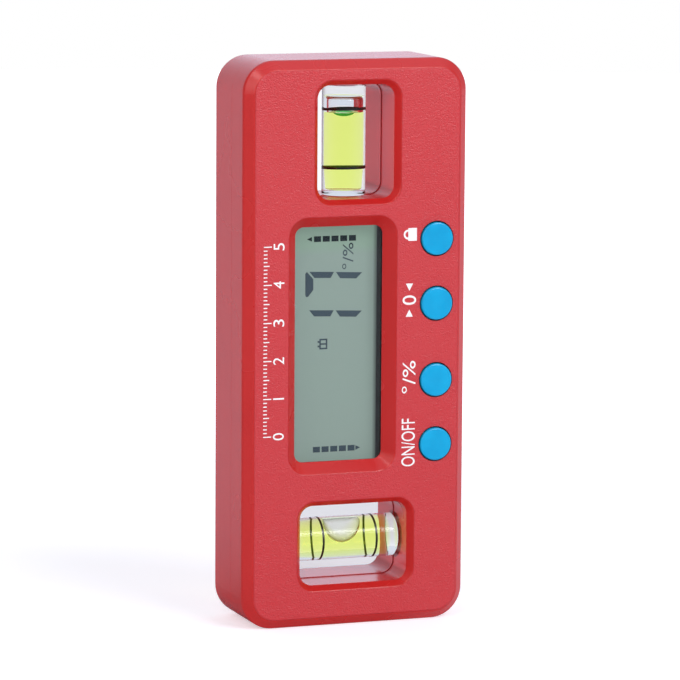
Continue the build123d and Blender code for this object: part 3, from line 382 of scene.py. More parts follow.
# The scale: a tick for each millimetre, and a number for each centimetre, in millimetres.
SCALE_X = -26.0
SCALE_LOW_Z = 51.7
SCALE_LENGTH = 50
TICK_WIDTH = 0.28
TEN_TICK = 2.2
FIVE_TICK = 1.6
ONE_TICK = 1.0
NUMBER_X = SCALE_X + 4.2
NUMBER_LENGTH = 1.9
NUMBER_ONE_LENGTH = 0.42
NUMBER_HEIGHT = 3.0
scale_print = bmesh.new()
for step in range(SCALE_LENGTH + 1):
    tick = TEN_TICK if step % 10 == 0 else FIVE_TICK if step % 5 == 0 else ONE_TICK
    outline = bar(SCALE_X + tick / 2, SCALE_LOW_Z + step, tick, TICK_WIDTH)
    add_plate(scale_print, outline, print_y, print_depth)
for number in range(SCALE_LENGTH // 10 + 1):
    number_length = NUMBER_ONE_LENGTH if number == 1 else NUMBER_LENGTH
    add_lettering(
        scale_print, str(number), number_length, NUMBER_HEIGHT,
        NUMBER_X, SCALE_LOW_Z + number * 10, print_y, print_depth,
    )
finish_piece(scale_print, "printed_scale", print_ink, "case")

# The marks beside the buttons: a lock, a zero between arrows, the units, and on and off.
LABEL_X = 14.55
LABEL_HEIGHT = 3.8
LABEL_RISE = {"hold": 1.3, "zero": 1.1, "unit": 1.0, "power": 0.7}
LOCK_X = LABEL_X + 0.75
LOCK_SIZE = (2.4, 3.4)
SHACKLE_X = LABEL_X - 0.45
SHACKLE_RADIUS = 1.05
SHACKLE_WIDTH = 0.5
ZERO_LENGTH = 2.5
ARROW_REACH = 4.4
ARROW_LENGTH = 1.9
ARROW_WIDTH = 2.0
UNIT_LENGTH = 8.6
POWER_LENGTH = 12.8
ARC_STEPS = 16
label_z = {}
for key, rise in LABEL_RISE.items():
    key_low, key_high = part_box(key + "_button")
    label_z[key] = (key_low.z + key_high.z) / 2 / MM + rise


def add_arc(bm, x, z, radius, width, start, turn, face_y, thickness):
    """Part of a flat ring; start and turn are in degrees, from +X towards +Z."""
    first = Matrix.Rotation(-math.radians(start), 4, "Y")
    inner, outer = (radius - width / 2) * MM, (radius + width / 2) * MM
    back_y = face_y + thickness
    section = [(inner, face_y), (inner, back_y), (outer, back_y), (outer, face_y)]
    middle = Vector((x * MM, 0, z * MM))
    points = [bm.verts.new(middle + first @ Vector((r, y, 0))) for r, y in section]
    bmesh.ops.spin(
        bm, geom=[bm.faces.new(points)], cent=middle, axis=(0, -1, 0),
        angle=math.radians(turn), steps=ARC_STEPS,
    )


label_print = bmesh.new()
add_plate(label_print, bar(LOCK_X, label_z["hold"], *LOCK_SIZE), print_y, print_depth)
add_arc(
    label_print, SHACKLE_X, label_z["hold"], SHACKLE_RADIUS, SHACKLE_WIDTH, 90, 180,
    print_y, print_depth,
)
for side in (-1, 1):
    root_z = label_z["zero"] + side * ARROW_REACH
    outline = [
        (LABEL_X - ARROW_WIDTH / 2, root_z),
        (LABEL_X + ARROW_WIDTH / 2, root_z),
        (LABEL_X, root_z - side * ARROW_LENGTH),
    ]
    add_plate(label_print, outline, print_y, print_depth)
for key, text, length in (
    ("zero", "0", ZERO_LENGTH),
    ("unit", "°/%", UNIT_LENGTH),
    ("power", "ON/OFF", POWER_LENGTH),
):
    add_lettering(
        label_print, text, length, LABEL_HEIGHT, LABEL_X, label_z[key], print_y, print_depth,
    )
finish_piece(label_print, "printed_labels", print_ink, "case")

# Button caps
# Four round caps of satin blue plastic, each with a slight crown. They drop into the front shell
# from behind, and a flange keeps them in.


def build_moulded(name, deep, pale, grain_waves, tone_waves, rough, relief, depth, **sockets):
    """A moulded plastic with the grain of its tool."""
    material, tree, shader = new_material(name, IOR=PLASTIC_IOR, **sockets)
    surface = place_group(tree, moulded_grain, Grain_Scale=grain_waves, Tone_Scale=tone_waves)
    feed(tree, shader.inputs["Base Color"], mix_colours(tree, surface["Tone"], deep, pale))
    feed(tree, shader.inputs["Roughness"], spread(tree, surface["Grain"], *GRAIN_SPAN, *rough))
    bump(tree, shader, surface["Grain"], relief, depth)
    return material


blue_cap = build_moulded(
    "blue_cap_plastic", deep=(0.001, 0.315, 0.610, 1), pale=(0.002, 0.385, 0.700, 1),
    grain_waves=4200.0, tone_waves=150.0, rough=(0.18, 0.26), relief=0.2, depth=SKIN_DEPTH,
    Specular_IOR_Level=0.35,
)
dress(blue_cap, "hold_button", "zero_button", "unit_button", "power_button")

# Display window and frame
# A clear acrylic pane sits behind the bevelled opening, and behind it a matte black moulded
# frame holds the LCD away from the pane and to the board.
MOULDED_DEPTH = 0.03 * MM
ACRYLIC_IOR = 1.49
PANE_TINT = (0.97, 0.985, 0.98, 1)
PANE_ROUGH = (0.0, 0.02)
SMOOTH = (0.0, 0.0)
HAZE_WAVES = 220.0
HAZE_DETAIL = 4.0
HAZE_SPAN = (0.35, 0.75)


def build_clear(name, tint, ior, rough=SMOOTH):
    """A clear material. Light that falls on what is behind passes straight through it."""
    material, tree, shader = new_material(name, IOR=ior, Transmission_Weight=1.0)
    shader.inputs["Base Color"].default_value = tint
    haze = noise(tree, place_on(tree), HAZE_WAVES, HAZE_DETAIL)
    feed(tree, shader.inputs["Roughness"], spread(tree, haze, *HAZE_SPAN, *rough))
    path = add_node(tree, "LightPath").outputs
    lit = calculate(tree, "MAXIMUM", path["Is Shadow Ray"], path["Is Diffuse Ray"])
    passing = add_node(tree, "BsdfTransparent", Color=tint)
    mixed = add_node(tree, "MixShader", Fac=lit)
    tree.links.new(shader.outputs["BSDF"], mixed.inputs[1])
    tree.links.new(passing.outputs["BSDF"], mixed.inputs[2])
    out = tree.nodes["Material Output"]
    tree.links.new(mixed.outputs["Shader"], out.inputs["Surface"])
    return material


clear_pane = build_clear("clear_pane_acrylic", PANE_TINT, ACRYLIC_IOR, PANE_ROUGH)
dress(clear_pane, "display_window")
black_frame = build_moulded(
    "black_frame_plastic", deep=(0.006, 0.006, 0.006, 1), pale=(0.014, 0.014, 0.015, 1),
    grain_waves=3000.0, tone_waves=120.0, rough=(0.42, 0.58), relief=0.3, depth=MOULDED_DEPTH,
)
dress(black_frame, "lcd_bezel")

# Liquid crystal display
# A grey-green LCD, given a faint painted glow: two glass plates between a polarising film and a
# reflector film. Its segments read upwards: a number, a unit mark, a cell mark and two bars.
FILM_LOW = (0.114, 0.148, 0.134, 1)
FILM_HIGH = (0.108, 0.160, 0.124, 1)
FILM_SPARKLE = (0.04, 0.05, 0.05, 1)
# Colour of the painted frame shadow on the film.
FILM_SHADOW = (0.01, 0.01, 0.012, 1)
FILM_DARK = (0, 0, 0, 1)
# The film's faint glow is painted light that evens out the shade in its deep frame.
FILM_GLOW = 1.35
FILM_TURN = 99.3 * MM
FILM_TURN_HALF = 1.2 * MM
FILM_TURN_SHARE = 0.8
FILM_CLOUD_WAVES = 90.0
FILM_CLOUD_SHARE = 0.2
FILM_ROUGH = (0.30, 0.42)
FILM_RELIEF = 0.08
FILM_DEPTH = 0.01 * MM
SPARKLE_WAVES = 9000.0
SPARKLE_DETAIL = 1.0
SPARKLE_SHARE = 0.06
FRAME_EDGE = 8.05 * MM
SHADOW_WIDTH = 1.1 * MM
SHADOW_SHARE = 0.8
SEGMENT_DEEP = (0.042, 0.064, 0.083, 1)
SEGMENT_PALE = (0.056, 0.082, 0.105, 1)
SEGMENT_UPPER = (0.004, 0.012, 0.014, 1)
SEGMENT_TURN = 2.0 * MM
GLASS_TINT = (0.93, 0.96, 0.95, 1)
GLASS_IOR = 1.52
GLASS_ROUGH = (0.0, 0.01)


def build_lcd_film():
    """The polariser over its reflector: grey-green, a little greener up top, with painted glow and
    shadow.
    """
    material, tree, shader = new_material(
        "lcd_polariser_film", IOR=PLASTIC_IOR, Emission_Strength=FILM_GLOW,
    )
    place = place_on(tree)
    axes = axes_of(tree, place)
    greener = spread(
        tree, axes["Z"], FILM_TURN - FILM_TURN_HALF, FILM_TURN + FILM_TURN_HALF,
        0.0, FILM_TURN_SHARE,
    )
    cloud = noise(tree, place, FILM_CLOUD_WAVES, GRAIN_DETAIL)
    cloud = calculate(tree, "MULTIPLY_ADD", cloud, FILM_CLOUD_SHARE, greener)
    colour = mix_colours(tree, cloud, FILM_LOW, FILM_HIGH)
    sparkle = noise(tree, place, SPARKLE_WAVES, SPARKLE_DETAIL)
    speck = spread(tree, sparkle, *NOISE_SPAN, 0.0, SPARKLE_SHARE)
    colour = mix_colours(tree, speck, colour, FILM_SPARKLE)
    # A painted shadow of the frame's right wall along the film's right edge.
    shadow = spread(tree, axes["X"], FRAME_EDGE - SHADOW_WIDTH, FRAME_EDGE, 0.0, SHADOW_SHARE)
    colour = mix_colours(tree, shadow, colour, FILM_SHADOW)
    feed(tree, shader.inputs["Base Color"], colour)
    # The painted glow is hidden from reflections.
    reflected = add_node(tree, "LightPath").outputs["Glossy Depth"]
    glow = mix_colours(tree, reflected, colour, FILM_DARK)
    feed(tree, shader.inputs["Emission Color"], glow)
    feed(tree, shader.inputs["Roughness"], spread(tree, sparkle, *NOISE_SPAN, *FILM_ROUGH))
    bump(tree, shader, sparkle, FILM_RELIEF, FILM_DEPTH)
    return material


def build_lcd_segment():
    """A switched-on segment: dark slate, with the same fine sparkle as the film."""
    material, tree, shader = new_material(
        "lcd_segment_dark", IOR=PLASTIC_IOR, Specular_IOR_Level=0.0,
    )
    place = place_on(tree)
    sparkle = noise(tree, place, SPARKLE_WAVES, SPARKLE_DETAIL)
    colour = mix_colours(tree, sparkle, SEGMENT_DEEP, SEGMENT_PALE)
    upper = spread(tree, axes_of(tree, place)["Z"], FILM_TURN, FILM_TURN + SEGMENT_TURN)
    colour = mix_colours(tree, upper, colour, SEGMENT_UPPER)
    feed(tree, shader.inputs["Base Color"], colour)
    feed(tree, shader.inputs["Roughness"], spread(tree, sparkle, *NOISE_SPAN, *FILM_ROUGH))
    return material


# The segments' outlines, as (x, z) corners in millimetres.
SEGMENT_THICKNESS = 0.015 * MM
DIGIT_PITCH = 10.2
TOP_STROKE = [
    (-11.99, 93.34), (-11.57, 93.91), (-9.75, 91.88), (-9.73, 89.02),
    (-11.25, 87.22), (-11.76, 87.24), (-11.97, 87.78),
]
LONG_STROKES = [
    [(-10.86, 93.88), (-4.00, 93.62), (-4.92, 92.02), (-9.45, 92.19)],
    [(-3.44, 93.57), (3.90, 93.23), (2.25, 91.64), (-2.25, 91.86)],
]
UPPER_BAR_Z = 102.45
LOWER_BAR_Z = 46.4
UPPER_BAR_X = -8.64
LOWER_BAR_X = -8.62
BAR_SQUARES = 5
SQUARE_PITCH = 2.44
SQUARE_SIZE = (1.98, 1.52)
POINTER_HALF = 0.62
UPPER_POINTER_X = (-11.56, -10.18)
LOWER_POINTER_X = (3.70, 2.35)
CELL_X = -6.8
CELL_PLATES_Z = (73.35, 74.55, 75.75)
CELL_PLATE_SIZE = (1.6, 0.42)
CELL_SIDES_X = (-7.75, -5.95)
CELL_SIDE_Z = 74.55
CELL_SIDE_SIZE = (0.42, 2.82)
CELL_NUB_X = -8.2
CELL_NUBS_Z = (73.95, 75.15)
CELL_NUB_SIZE = (0.5, 0.5)
UNIT_MARK_SIZE = (7.0, 3.1)
UNIT_MARK_PLACE = (-0.15, 97.7)
segments = bmesh.new()
segment_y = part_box("lcd_front_polariser")[0].y - SEGMENT_THICKNESS
segment_depth = SEGMENT_THICKNESS * 2
strokes = [TOP_STROKE, *LONG_STROKES]
for outline in LONG_STROKES:
    strokes.append([(x, z - DIGIT_PITCH) for x, z in outline])
for square in range(BAR_SQUARES):
    for first_x, bar_z in ((UPPER_BAR_X, UPPER_BAR_Z), (LOWER_BAR_X, LOWER_BAR_Z)):
        strokes.append(bar(first_x + square * SQUARE_PITCH, bar_z, *SQUARE_SIZE))
for (tip, root), bar_z in ((UPPER_POINTER_X, UPPER_BAR_Z), (LOWER_POINTER_X, LOWER_BAR_Z)):
    strokes.append([(tip, bar_z), (root, bar_z - POINTER_HALF), (root, bar_z + POINTER_HALF)])
strokes.extend(bar(CELL_X, z, *CELL_PLATE_SIZE) for z in CELL_PLATES_Z)
strokes.extend(bar(x, CELL_SIDE_Z, *CELL_SIDE_SIZE) for x in CELL_SIDES_X)
strokes.extend(bar(CELL_NUB_X, z, *CELL_NUB_SIZE) for z in CELL_NUBS_Z)
for outline in strokes:
    add_plate(segments, outline, segment_y, segment_depth)
add_lettering(segments, "°/%", *UNIT_MARK_SIZE, *UNIT_MARK_PLACE, segment_y, segment_depth)
finish_piece(segments, "lcd_segments", build_lcd_segment(), "case")
dress(build_lcd_film(), "lcd_front_polariser", "lcd_reflector")
lcd_glass = build_clear("lcd_plate_glass", GLASS_TINT, GLASS_IOR, GLASS_ROUGH)
dress(lcd_glass, "lcd_front_glass", "lcd_rear_glass")

# Bubble vials
# Each vial is a clear acrylic barrel whose chamber is closed by a plug, held by a pin at each
# end. It is filled with yellow-green spirit and a bubble, and two black rings are painted on it.
CLOSED_END = -14.65 * MM
MOUTH_END = 14.25 * MM
PIN_GAP = 0.04 * MM
BARREL_BREAK = 0.3 * MM
PIN_RADIUS = 3.6 * MM
CHAMBER_HALF = 12.4 * MM
CHAMBER_ROUND = 0.5 * MM
CHAMBER_ROUND_STEPS = 6
BORE = 4.6 * MM
BORE_CLOSED_END = 4.2 * MM
BORE_TAPER_FROM = -6.0 * MM
WALL_STEPS = 46
LATHE_STEPS = 96
RING_WIDTH = 0.6 * MM
RING_PROUD = 0.02 * MM
LEVEL_RINGS = (-7.55 * MM, 7.9 * MM)
LEVEL_RING_SLOPE = 0.045
PLUMB_RINGS = (-6.95 * MM, 8.05 * MM)
BUBBLE_FILM = 0.05 * MM
BUBBLE_ROOM = 0.03 * MM
ROOM_BEYOND = 0.3 * MM
LEVEL_DROP = 1.0 * MM
TRAPPED_EDGE = 7.15 * MM
TRAPPED_CORNER = 1.1 * MM
TRAPPED_CORNER_STEPS = 8
MENISCUS_SIZE = (2.5 * MM, 1.15 * MM)
MENISCUS_STEPS = 16
MENISCUS_Z = 135.4 * MM
DROP_RADIUS = 5.05 * MM
DROP_MIDDLE = (0, 3.8 * MM, -0.2 * MM)
DROP_SEGMENTS = 64
DROP_RINGS = 48
LIE_ACROSS = Matrix(((0, 0, 1), (1, 0, 0), (0, 1, 0))).to_4x4()
BARREL_TINT = (0.98, 0.99, 0.985, 1)
BARREL_IOR = 1.15
BARREL_COAT = 0.22
SPIRIT_IOR = 0.99
SPIRIT_DYE = (0.96, 1.0, 0.02, 1)
SPIRIT_GLOW = (0.5, 1.0, 0.12, 1)
SPIRIT_GLOW_STRENGTH = 0.025
LEVEL_SPIRIT_TINT = (0.93, 0.98, 0.5, 1)
LEVEL_DYE_DENSITY = 80.0
PLUMB_SPIRIT_TINT = (0.97, 0.99, 0.95, 1)
PLUMB_DYE_DENSITY = 150.0
AIR_CLEAR = (1, 1, 1, 1)
AIR_MIDDLE = (0.88, 0.82, 0.94, 1)
# Colour of the painted shade at the bubble's rim.
AIR_RIM_PAINTED_SHADE = (0.16, 0.14, 0.12, 1)
AIR_RIM_FACING = (0.35, 0.95)
LEVEL_AIR_IOR = 0.78
PLUMB_AIR_IOR = 0.95
# A dark green painted shade for the upright bubble's meniscus.
MENISCUS_PAINTED_SHADE = (0.03, 0.30, 0.16, 1)
PLAIN_DETAIL = 4.0


def lathe(bm, profile, closed=False):
    """Turns a profile of (radius, along) points round Z; a closed profile makes a ring."""
    points = [bm.verts.new((radius, 0, along)) for radius, along in profile]
    ends = points[1:] + points[:1] if closed else points[1:]
    edges = [bm.edges.new(pair) for pair in zip(points, ends)]
    bmesh.ops.spin(
        bm, geom=points + edges, axis=(0, 0, 1), angle=math.tau, steps=LATHE_STEPS,
        use_merge=True,
    )
    bmesh.ops.remove_doubles(bm, verts=bm.verts[:], dist=WELD)


def arc_points(radius, along, wide, tall, start, end, steps):
    """Points of part of an oval in a lathe profile, from one angle to another in degrees."""
    turns = [math.radians(start + (end - start) * step / steps) for step in range(steps + 1)]
    return [(radius + wide * math.cos(turn), along + tall * math.sin(turn)) for turn in turns]


def shape_level_bubble(bm, grow):
    """The air under the plug of the upright vial, with a domed underside."""
    edge = TRAPPED_EDGE - grow
    beyond = ROOM_BEYOND if grow else 0.0
    high = CHAMBER_HALF - LEVEL_DROP - BUBBLE_FILM + beyond
    wide = BORE - BUBBLE_FILM + beyond
    corner = TRAPPED_CORNER
    dome_wide, dome_tall = MENISCUS_SIZE
    under = arc_points(0, edge, dome_wide + grow, dome_tall, -90, 0, MENISCUS_STEPS)
    upper = arc_points(
        wide - corner, high - corner, corner, corner, 0, 90, TRAPPED_CORNER_STEPS,
    )
    lathe(bm, [*under, (wide, edge), *upper, (0, high)])


def shape_plumb_bubble(bm, grow):
    """The bubble of the flat vial: a rounded drop of air that presses up against the bore."""
    wide = BORE - BUBBLE_FILM + grow
    bmesh.ops.create_uvsphere(
        bm, u_segments=DROP_SEGMENTS, v_segments=DROP_RINGS, radius=DROP_RADIUS + grow,
        matrix=Matrix.Translation(DROP_MIDDLE),
    )
    for vertex in bm.verts:
        radius = math.hypot(vertex.co.x, vertex.co.y)
        if radius > wide:
            vertex.co.x *= wide / radius
            vertex.co.y *= wide / radius


def build_barrel_acrylic():
    """Clear acrylic, with its gloss in a thin coat on the outside only."""
    material = build_clear("vial_acrylic_clear", BARREL_TINT, BARREL_IOR)
    tree = material.node_tree
    shader = tree.nodes["Principled BSDF"]
    shader.inputs["Coat IOR"].default_value = ACRYLIC_IOR
    inside = add_node(tree, "NewGeometry").outputs["Backfacing"]
    coat = spread(tree, inside, 0.0, 1.0, BARREL_COAT, 0.0)
    feed(tree, shader.inputs["Coat Weight"], coat)
    return material


def build_spirit(name, tint, density):
    """Dyed spirit: as clear as the acrylic round it, coloured by its depth, faintly glowing."""
    material = build_clear(name, tint, SPIRIT_IOR)
    tree = material.node_tree
    shader = tree.nodes["Principled BSDF"]
    shader.inputs["Emission Color"].default_value = SPIRIT_GLOW
    shader.inputs["Emission Strength"].default_value = SPIRIT_GLOW_STRENGTH
    dye = add_node(tree, "VolumeAbsorption", Color=SPIRIT_DYE, Density=density)
    out = tree.nodes["Material Output"]
    tree.links.new(dye.outputs["Volume"], out.inputs["Volume"])
    return material


def build_plumb_air():
    """A drop of air, faintly lavender in its middle, with painted shade greying its rim, which
    bends the light of the dark case to the eye.
    """
    material = build_clear("plumb_bubble_air", AIR_CLEAR, PLUMB_AIR_IOR)
    tree = material.node_tree
    rim = add_node(tree, "LayerWeight", Blend=0.5).outputs["Facing"]
    # Painted shade greys the rim, by how squarely it faces the eye.
    colour = mix_colours(tree, spread(tree, rim, *AIR_RIM_FACING), AIR_MIDDLE, AIR_RIM_PAINTED_SHADE)
    feed(tree, tree.nodes["Principled BSDF"].inputs["Base Color"], colour)
    return material


def build_plain(
    name, deep, pale, waves, rough, relief=0.0, detail=PLAIN_DETAIL, depth=MOULDED_DEPTH,
):
    """A painted, moulded, cast or pressed material with cloudy colour and a fine relief."""
    material, tree, shader = new_material(name, IOR=PLASTIC_IOR)
    cloud = noise(tree, place_on(tree), waves, detail)
    feed(tree, shader.inputs["Base Color"], mix_colours(tree, cloud, deep, pale))
    feed(tree, shader.inputs["Roughness"], spread(tree, cloud, *NOISE_SPAN, *rough))
    if relief:
        bump(tree, shader, cloud, relief, depth)
    return material


def build_vial(name, turn, drop, rings, ring_slope, spirit_look, air_look, shape_bubble):
    """One vial, made along Z and turned into place: barrel, pins, rings, spirit and bubble."""
    low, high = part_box(name + "_tube")
    plug_low, plug_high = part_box(name + "_plug")
    first = Vector([min(pair) for pair in zip(low, plug_low)])
    last = Vector([max(pair) for pair in zip(high, plug_high)])
    pin_end = max(last - first) / 2
    radius = min(last - first) / 2
    in_place = Matrix.Translation((first + last) / 2) @ turn
    bubble_body = name.replace("vial", "bubble")

    def settle(bm, piece, material, body, stands_for=()):
        """Puts a part of the vial in its place."""
        bmesh.ops.transform(bm, matrix=in_place, verts=bm.verts[:])
        return finish_piece(bm, piece, material, body, stands_for)

    barrel = bmesh.new()
    rim = radius - BARREL_BREAK
    lathe(barrel, [
        (0, CLOSED_END),
        (rim, CLOSED_END),
        (radius, CLOSED_END + BARREL_BREAK),
        (radius, MOUTH_END - BARREL_BREAK),
        (rim, MOUTH_END),
        (0, MOUTH_END),
    ])
    settle(barrel, name + "_barrel", barrel_acrylic, "case", (name + "_tube",))

    pins = bmesh.new()
    for near, far in ((CLOSED_END - PIN_GAP, -pin_end), (MOUTH_END + PIN_GAP, pin_end)):
        lathe(pins, [(0, near), (PIN_RADIUS, near), (PIN_RADIUS, far), (0, far)])
    settle(pins, name + "_pins", barrel_acrylic, "case", (name + "_plug",))

    painted = bmesh.new()
    for along in rings:
        below, above = along - RING_WIDTH / 2, along + RING_WIDTH / 2
        inner, outer = radius - RING_PROUD, radius + RING_PROUD
        section = [(inner, below), (outer, below), (outer, above), (inner, above)]
        lathe(painted, section, closed=True)
    for vertex in painted.verts:
        vertex.co.z -= vertex.co.y * ring_slope
    settle(painted, name + "_rings", ring_paint, "case")

    spirit = bmesh.new()
    bottom = -CHAMBER_HALF - drop
    wall_step = (CHAMBER_HALF - BORE_TAPER_FROM) / WALL_STEPS
    lathe(spirit, [
        *arc_points(
            BORE_CLOSED_END - CHAMBER_ROUND, bottom + CHAMBER_ROUND,
            CHAMBER_ROUND, CHAMBER_ROUND, -90, 0, CHAMBER_ROUND_STEPS,
        ),
        *[(BORE, BORE_TAPER_FROM - drop + wall_step * step) for step in range(WALL_STEPS + 1)],
        (0, CHAMBER_HALF - drop),
        (0, bottom),
    ], closed=True)
    liquid = settle(
        spirit, name + "_spirit", spirit_look, "case", (name + "_liquid",),
    )

    bubble = bmesh.new()
    shape_bubble(bubble, 0.0)
    air = settle(bubble, name + "_air", air_look, bubble_body, (name + "_bubble",))

    room = bmesh.new()
    shape_bubble(room, BUBBLE_ROOM)
    cutter = settle(room, name + "_bubble_room", air_look, bubble_body)
    cutter.hide_render = True
    cutter.hide_viewport = True
    hollow = liquid.modifiers.new("bubble_room", "BOOLEAN")
    hollow.operation = "DIFFERENCE"
    hollow.solver = "EXACT"
    hollow.object = cutter
    return air


barrel_acrylic = build_barrel_acrylic()
ring_paint = build_plain(
    "ring_paint", deep=(0.004, 0.005, 0.004, 1), pale=(0.012, 0.013, 0.012, 1),
    waves=1200.0, rough=(0.25, 0.45), detail=GRAIN_DETAIL,
)
trapped_air = build_vial(
    "level_vial", Matrix.Identity(4), LEVEL_DROP, LEVEL_RINGS, LEVEL_RING_SLOPE,
    build_spirit("level_vial_spirit", LEVEL_SPIRIT_TINT, LEVEL_DYE_DENSITY),
    build_clear("level_bubble_air", AIR_CLEAR, LEVEL_AIR_IOR), shape_level_bubble,
)
# The underside of the upright bubble is tinted dark green: painted shade for its meniscus.
trapped_air.data.materials.append(build_clear("level_meniscus_painted_shade", MENISCUS_PAINTED_SHADE, SPIRIT_IOR))
for face in trapped_air.data.polygons:
    face.material_index = 1 if face.center.z < MENISCUS_Z else 0
build_vial(
    "plumb_vial", LIE_ACROSS, 0.0, PLUMB_RINGS, 0.0,
    build_spirit("plumb_vial_spirit", PLUMB_SPIRIT_TINT, PLUMB_DYE_DENSITY),
    build_plumb_air(), shape_plumb_bubble,
)

# Battery door, screws and magnets
# The door is moulded in the same red ABS. Zinc-plated screws sit in deep holes in the back, and
# nickel-plated disc magnets are pressed into the long edge.
PLATE_DETAIL = 4.0
SCRATCH_RATIO = 6
SCRATCH_DETAIL = 6.0
SCRATCH_DISTORTION = 2.0
PLATE_RELIEF = 0.08
PLATE_DEPTH = 0.01 * MM
dress(red_abs, "battery_door")


def build_plated(name, deep, pale, waves, rough):
    """A plated metal, cloudy at one scale and finely scratched at another."""
    material, tree, shader = new_material(name, Metallic=1.0)
    place = place_on(tree)
    cloud = noise(tree, place, waves, PLATE_DETAIL)
    feed(tree, shader.inputs["Base Color"], mix_colours(tree, cloud, deep, pale))
    scratches = add_node(
        tree, "TexNoise", Vector=place, Scale=waves * SCRATCH_RATIO,
        Detail=SCRATCH_DETAIL, Distortion=SCRATCH_DISTORTION,
    ).outputs["Fac"]
    feed(tree, shader.inputs["Roughness"], spread(tree, scratches, *NOISE_SPAN, *rough))
    bump(tree, shader, scratches, PLATE_RELIEF, PLATE_DEPTH)
    return material


zinc = build_plated(
    "zinc_plate", deep=(0.50, 0.51, 0.53, 1), pale=(0.68, 0.69, 0.70, 1),
    waves=500.0, rough=(0.24, 0.42),
)
nickel = build_plated(
    "nickel_plate", deep=(0.58, 0.56, 0.52, 1), pale=(0.72, 0.70, 0.66, 1),
    waves=260.0, rough=(0.16, 0.32),
)
dress(zinc, "case_screws", "board_screws")
dress(nickel, "base_magnets")

# Cells, contacts and leads
# Two AAA cells in shrink sleeves lie head to tail behind the door. Nickel-plated strips join
# them, and two soldered leads take the current to the board.
SLEEVE_DARK = (0.035, 0.042, 0.055, 1)
SLEEVE_SHEEN = (0.055, 0.064, 0.082, 1)
SLEEVE_BAND = (0.55, 0.56, 0.58, 1)
CELL_METAL = (0.62, 0.61, 0.59, 1)
BAND_START = (0.715, 0.725)
HEAD_METAL = (0.955, 0.96)
TAIL_METAL = (0.012, 0.016)
SLEEVE_WAVES = 900.0
SLEEVE_DETAIL = 4.0
SLEEVE_ROUGH = (0.22, 0.36)
SLEEVE_RELIEF = 0.06


def build_sleeve(name, node, nub_up):
    """A shrink sleeve: dark, with a silver band at the end that has the nub."""
    material, tree, shader = new_material(name, IOR=PLASTIC_IOR)
    low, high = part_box(node)
    place = place_on(tree)
    tail, head = (low.z, high.z) if nub_up else (high.z, low.z)
    along = spread(tree, axes_of(tree, place)["Z"], tail, head)
    band = spread(tree, along, *BAND_START)
    head_metal = spread(tree, along, *HEAD_METAL)
    tail_metal = spread(tree, along, *TAIL_METAL, 1.0, 0.0)
    bare = calculate(tree, "MAXIMUM", head_metal, tail_metal)
    ink = noise(tree, place, SLEEVE_WAVES, SLEEVE_DETAIL)
    colour = mix_colours(tree, ink, SLEEVE_DARK, SLEEVE_SHEEN)
    colour = mix_colours(tree, band, colour, SLEEVE_BAND)
    colour = mix_colours(tree, bare, colour, CELL_METAL)
    feed(tree, shader.inputs["Base Color"], colour)
    feed(tree, shader.inputs["Metallic"], bare)
    feed(tree, shader.inputs["Roughness"], spread(tree, ink, *NOISE_SPAN, *SLEEVE_ROUGH))
    bump(tree, shader, ink, SLEEVE_RELIEF, SKIN_DEPTH)
    return material


dress(build_sleeve("left_cell_sleeve", "battery_left", nub_up=True), "battery_left")
dress(build_sleeve("right_cell_sleeve", "battery_right", nub_up=False), "battery_right")
spring_strip = build_plated(
    "contact_strip_plate", deep=(0.60, 0.58, 0.53, 1), pale=(0.74, 0.72, 0.67, 1),
    waves=340.0, rough=(0.2, 0.36),
)
dress(spring_strip, "bridge_contact", "negative_contact", "positive_contact")
for lead, name, deep, pale in (
    ("positive_lead", "red_lead_pvc", (0.42, 0.012, 0.010, 1), (0.52, 0.020, 0.016, 1)),
    ("negative_lead", "black_lead_pvc", (0.010, 0.010, 0.011, 1), (0.022, 0.022, 0.024, 1)),
):
    insulation = build_plain(
        name, deep, pale, waves=1400.0, rough=(0.38, 0.52), relief=0.15,
        detail=GRAIN_DETAIL, depth=SKIN_DEPTH,
    )
    dress(insulation, lead)

# Circuit board and what is soldered to it
# A green glass-fibre board carries the switches, the tilt sensor, the chip under black resin,
# the clock crystal and its capacitors. A rubber strip and a foam pad meet the LCD.
MASK_DEEP = (0.008, 0.070, 0.022, 1)
MASK_PALE = (0.014, 0.105, 0.034, 1)
MASK_TRACK = (0.030, 0.180, 0.060, 1)
MASK_COAT = 0.4
MASK_COAT_ROUGH = 0.15
MASK_WAVES = 700.0
MASK_ROUGH = (0.32, 0.46)
TRACK_WAVES = 220.0
TRACK_GAP = 0.08
TRACK_RELIEF = 0.2
RUBBER_IOR = 1.4
RUBBER_DARK = (0.02, 0.02, 0.022, 1)
RUBBER_PINK = (0.46, 0.28, 0.27, 1)
RUBBER_WAVES = 900.0
RUBBER_ROUGH = (0.5, 0.7)


def build_board():
    """Solder mask over copper tracks, which show as paler lines."""
    material, tree, shader = new_material(
        "board_solder_mask", IOR=PLASTIC_IOR, Coat_Weight=MASK_COAT, Coat_Roughness=MASK_COAT_ROUGH,
    )
    place = place_on(tree)
    turned = add_node(tree, "Mapping", Vector=place, Rotation=(math.radians(90), 0, 0))
    tracks = add_node(
        tree, "TexBrick", Vector=turned.outputs["Vector"], Scale=TRACK_WAVES,
        Mortar_Size=TRACK_GAP,
    ).outputs["Fac"]
    mask = noise(tree, place, MASK_WAVES, GRAIN_DETAIL)
    colour = mix_colours(tree, mask, MASK_DEEP, MASK_PALE)
    colour = mix_colours(tree, tracks, colour, MASK_TRACK)
    feed(tree, shader.inputs["Base Color"], colour)
    feed(tree, shader.inputs["Roughness"], spread(tree, mask, *NOISE_SPAN, *MASK_ROUGH))
    bump(tree, shader, tracks, TRACK_RELIEF, MOULDED_DEPTH)
    return material


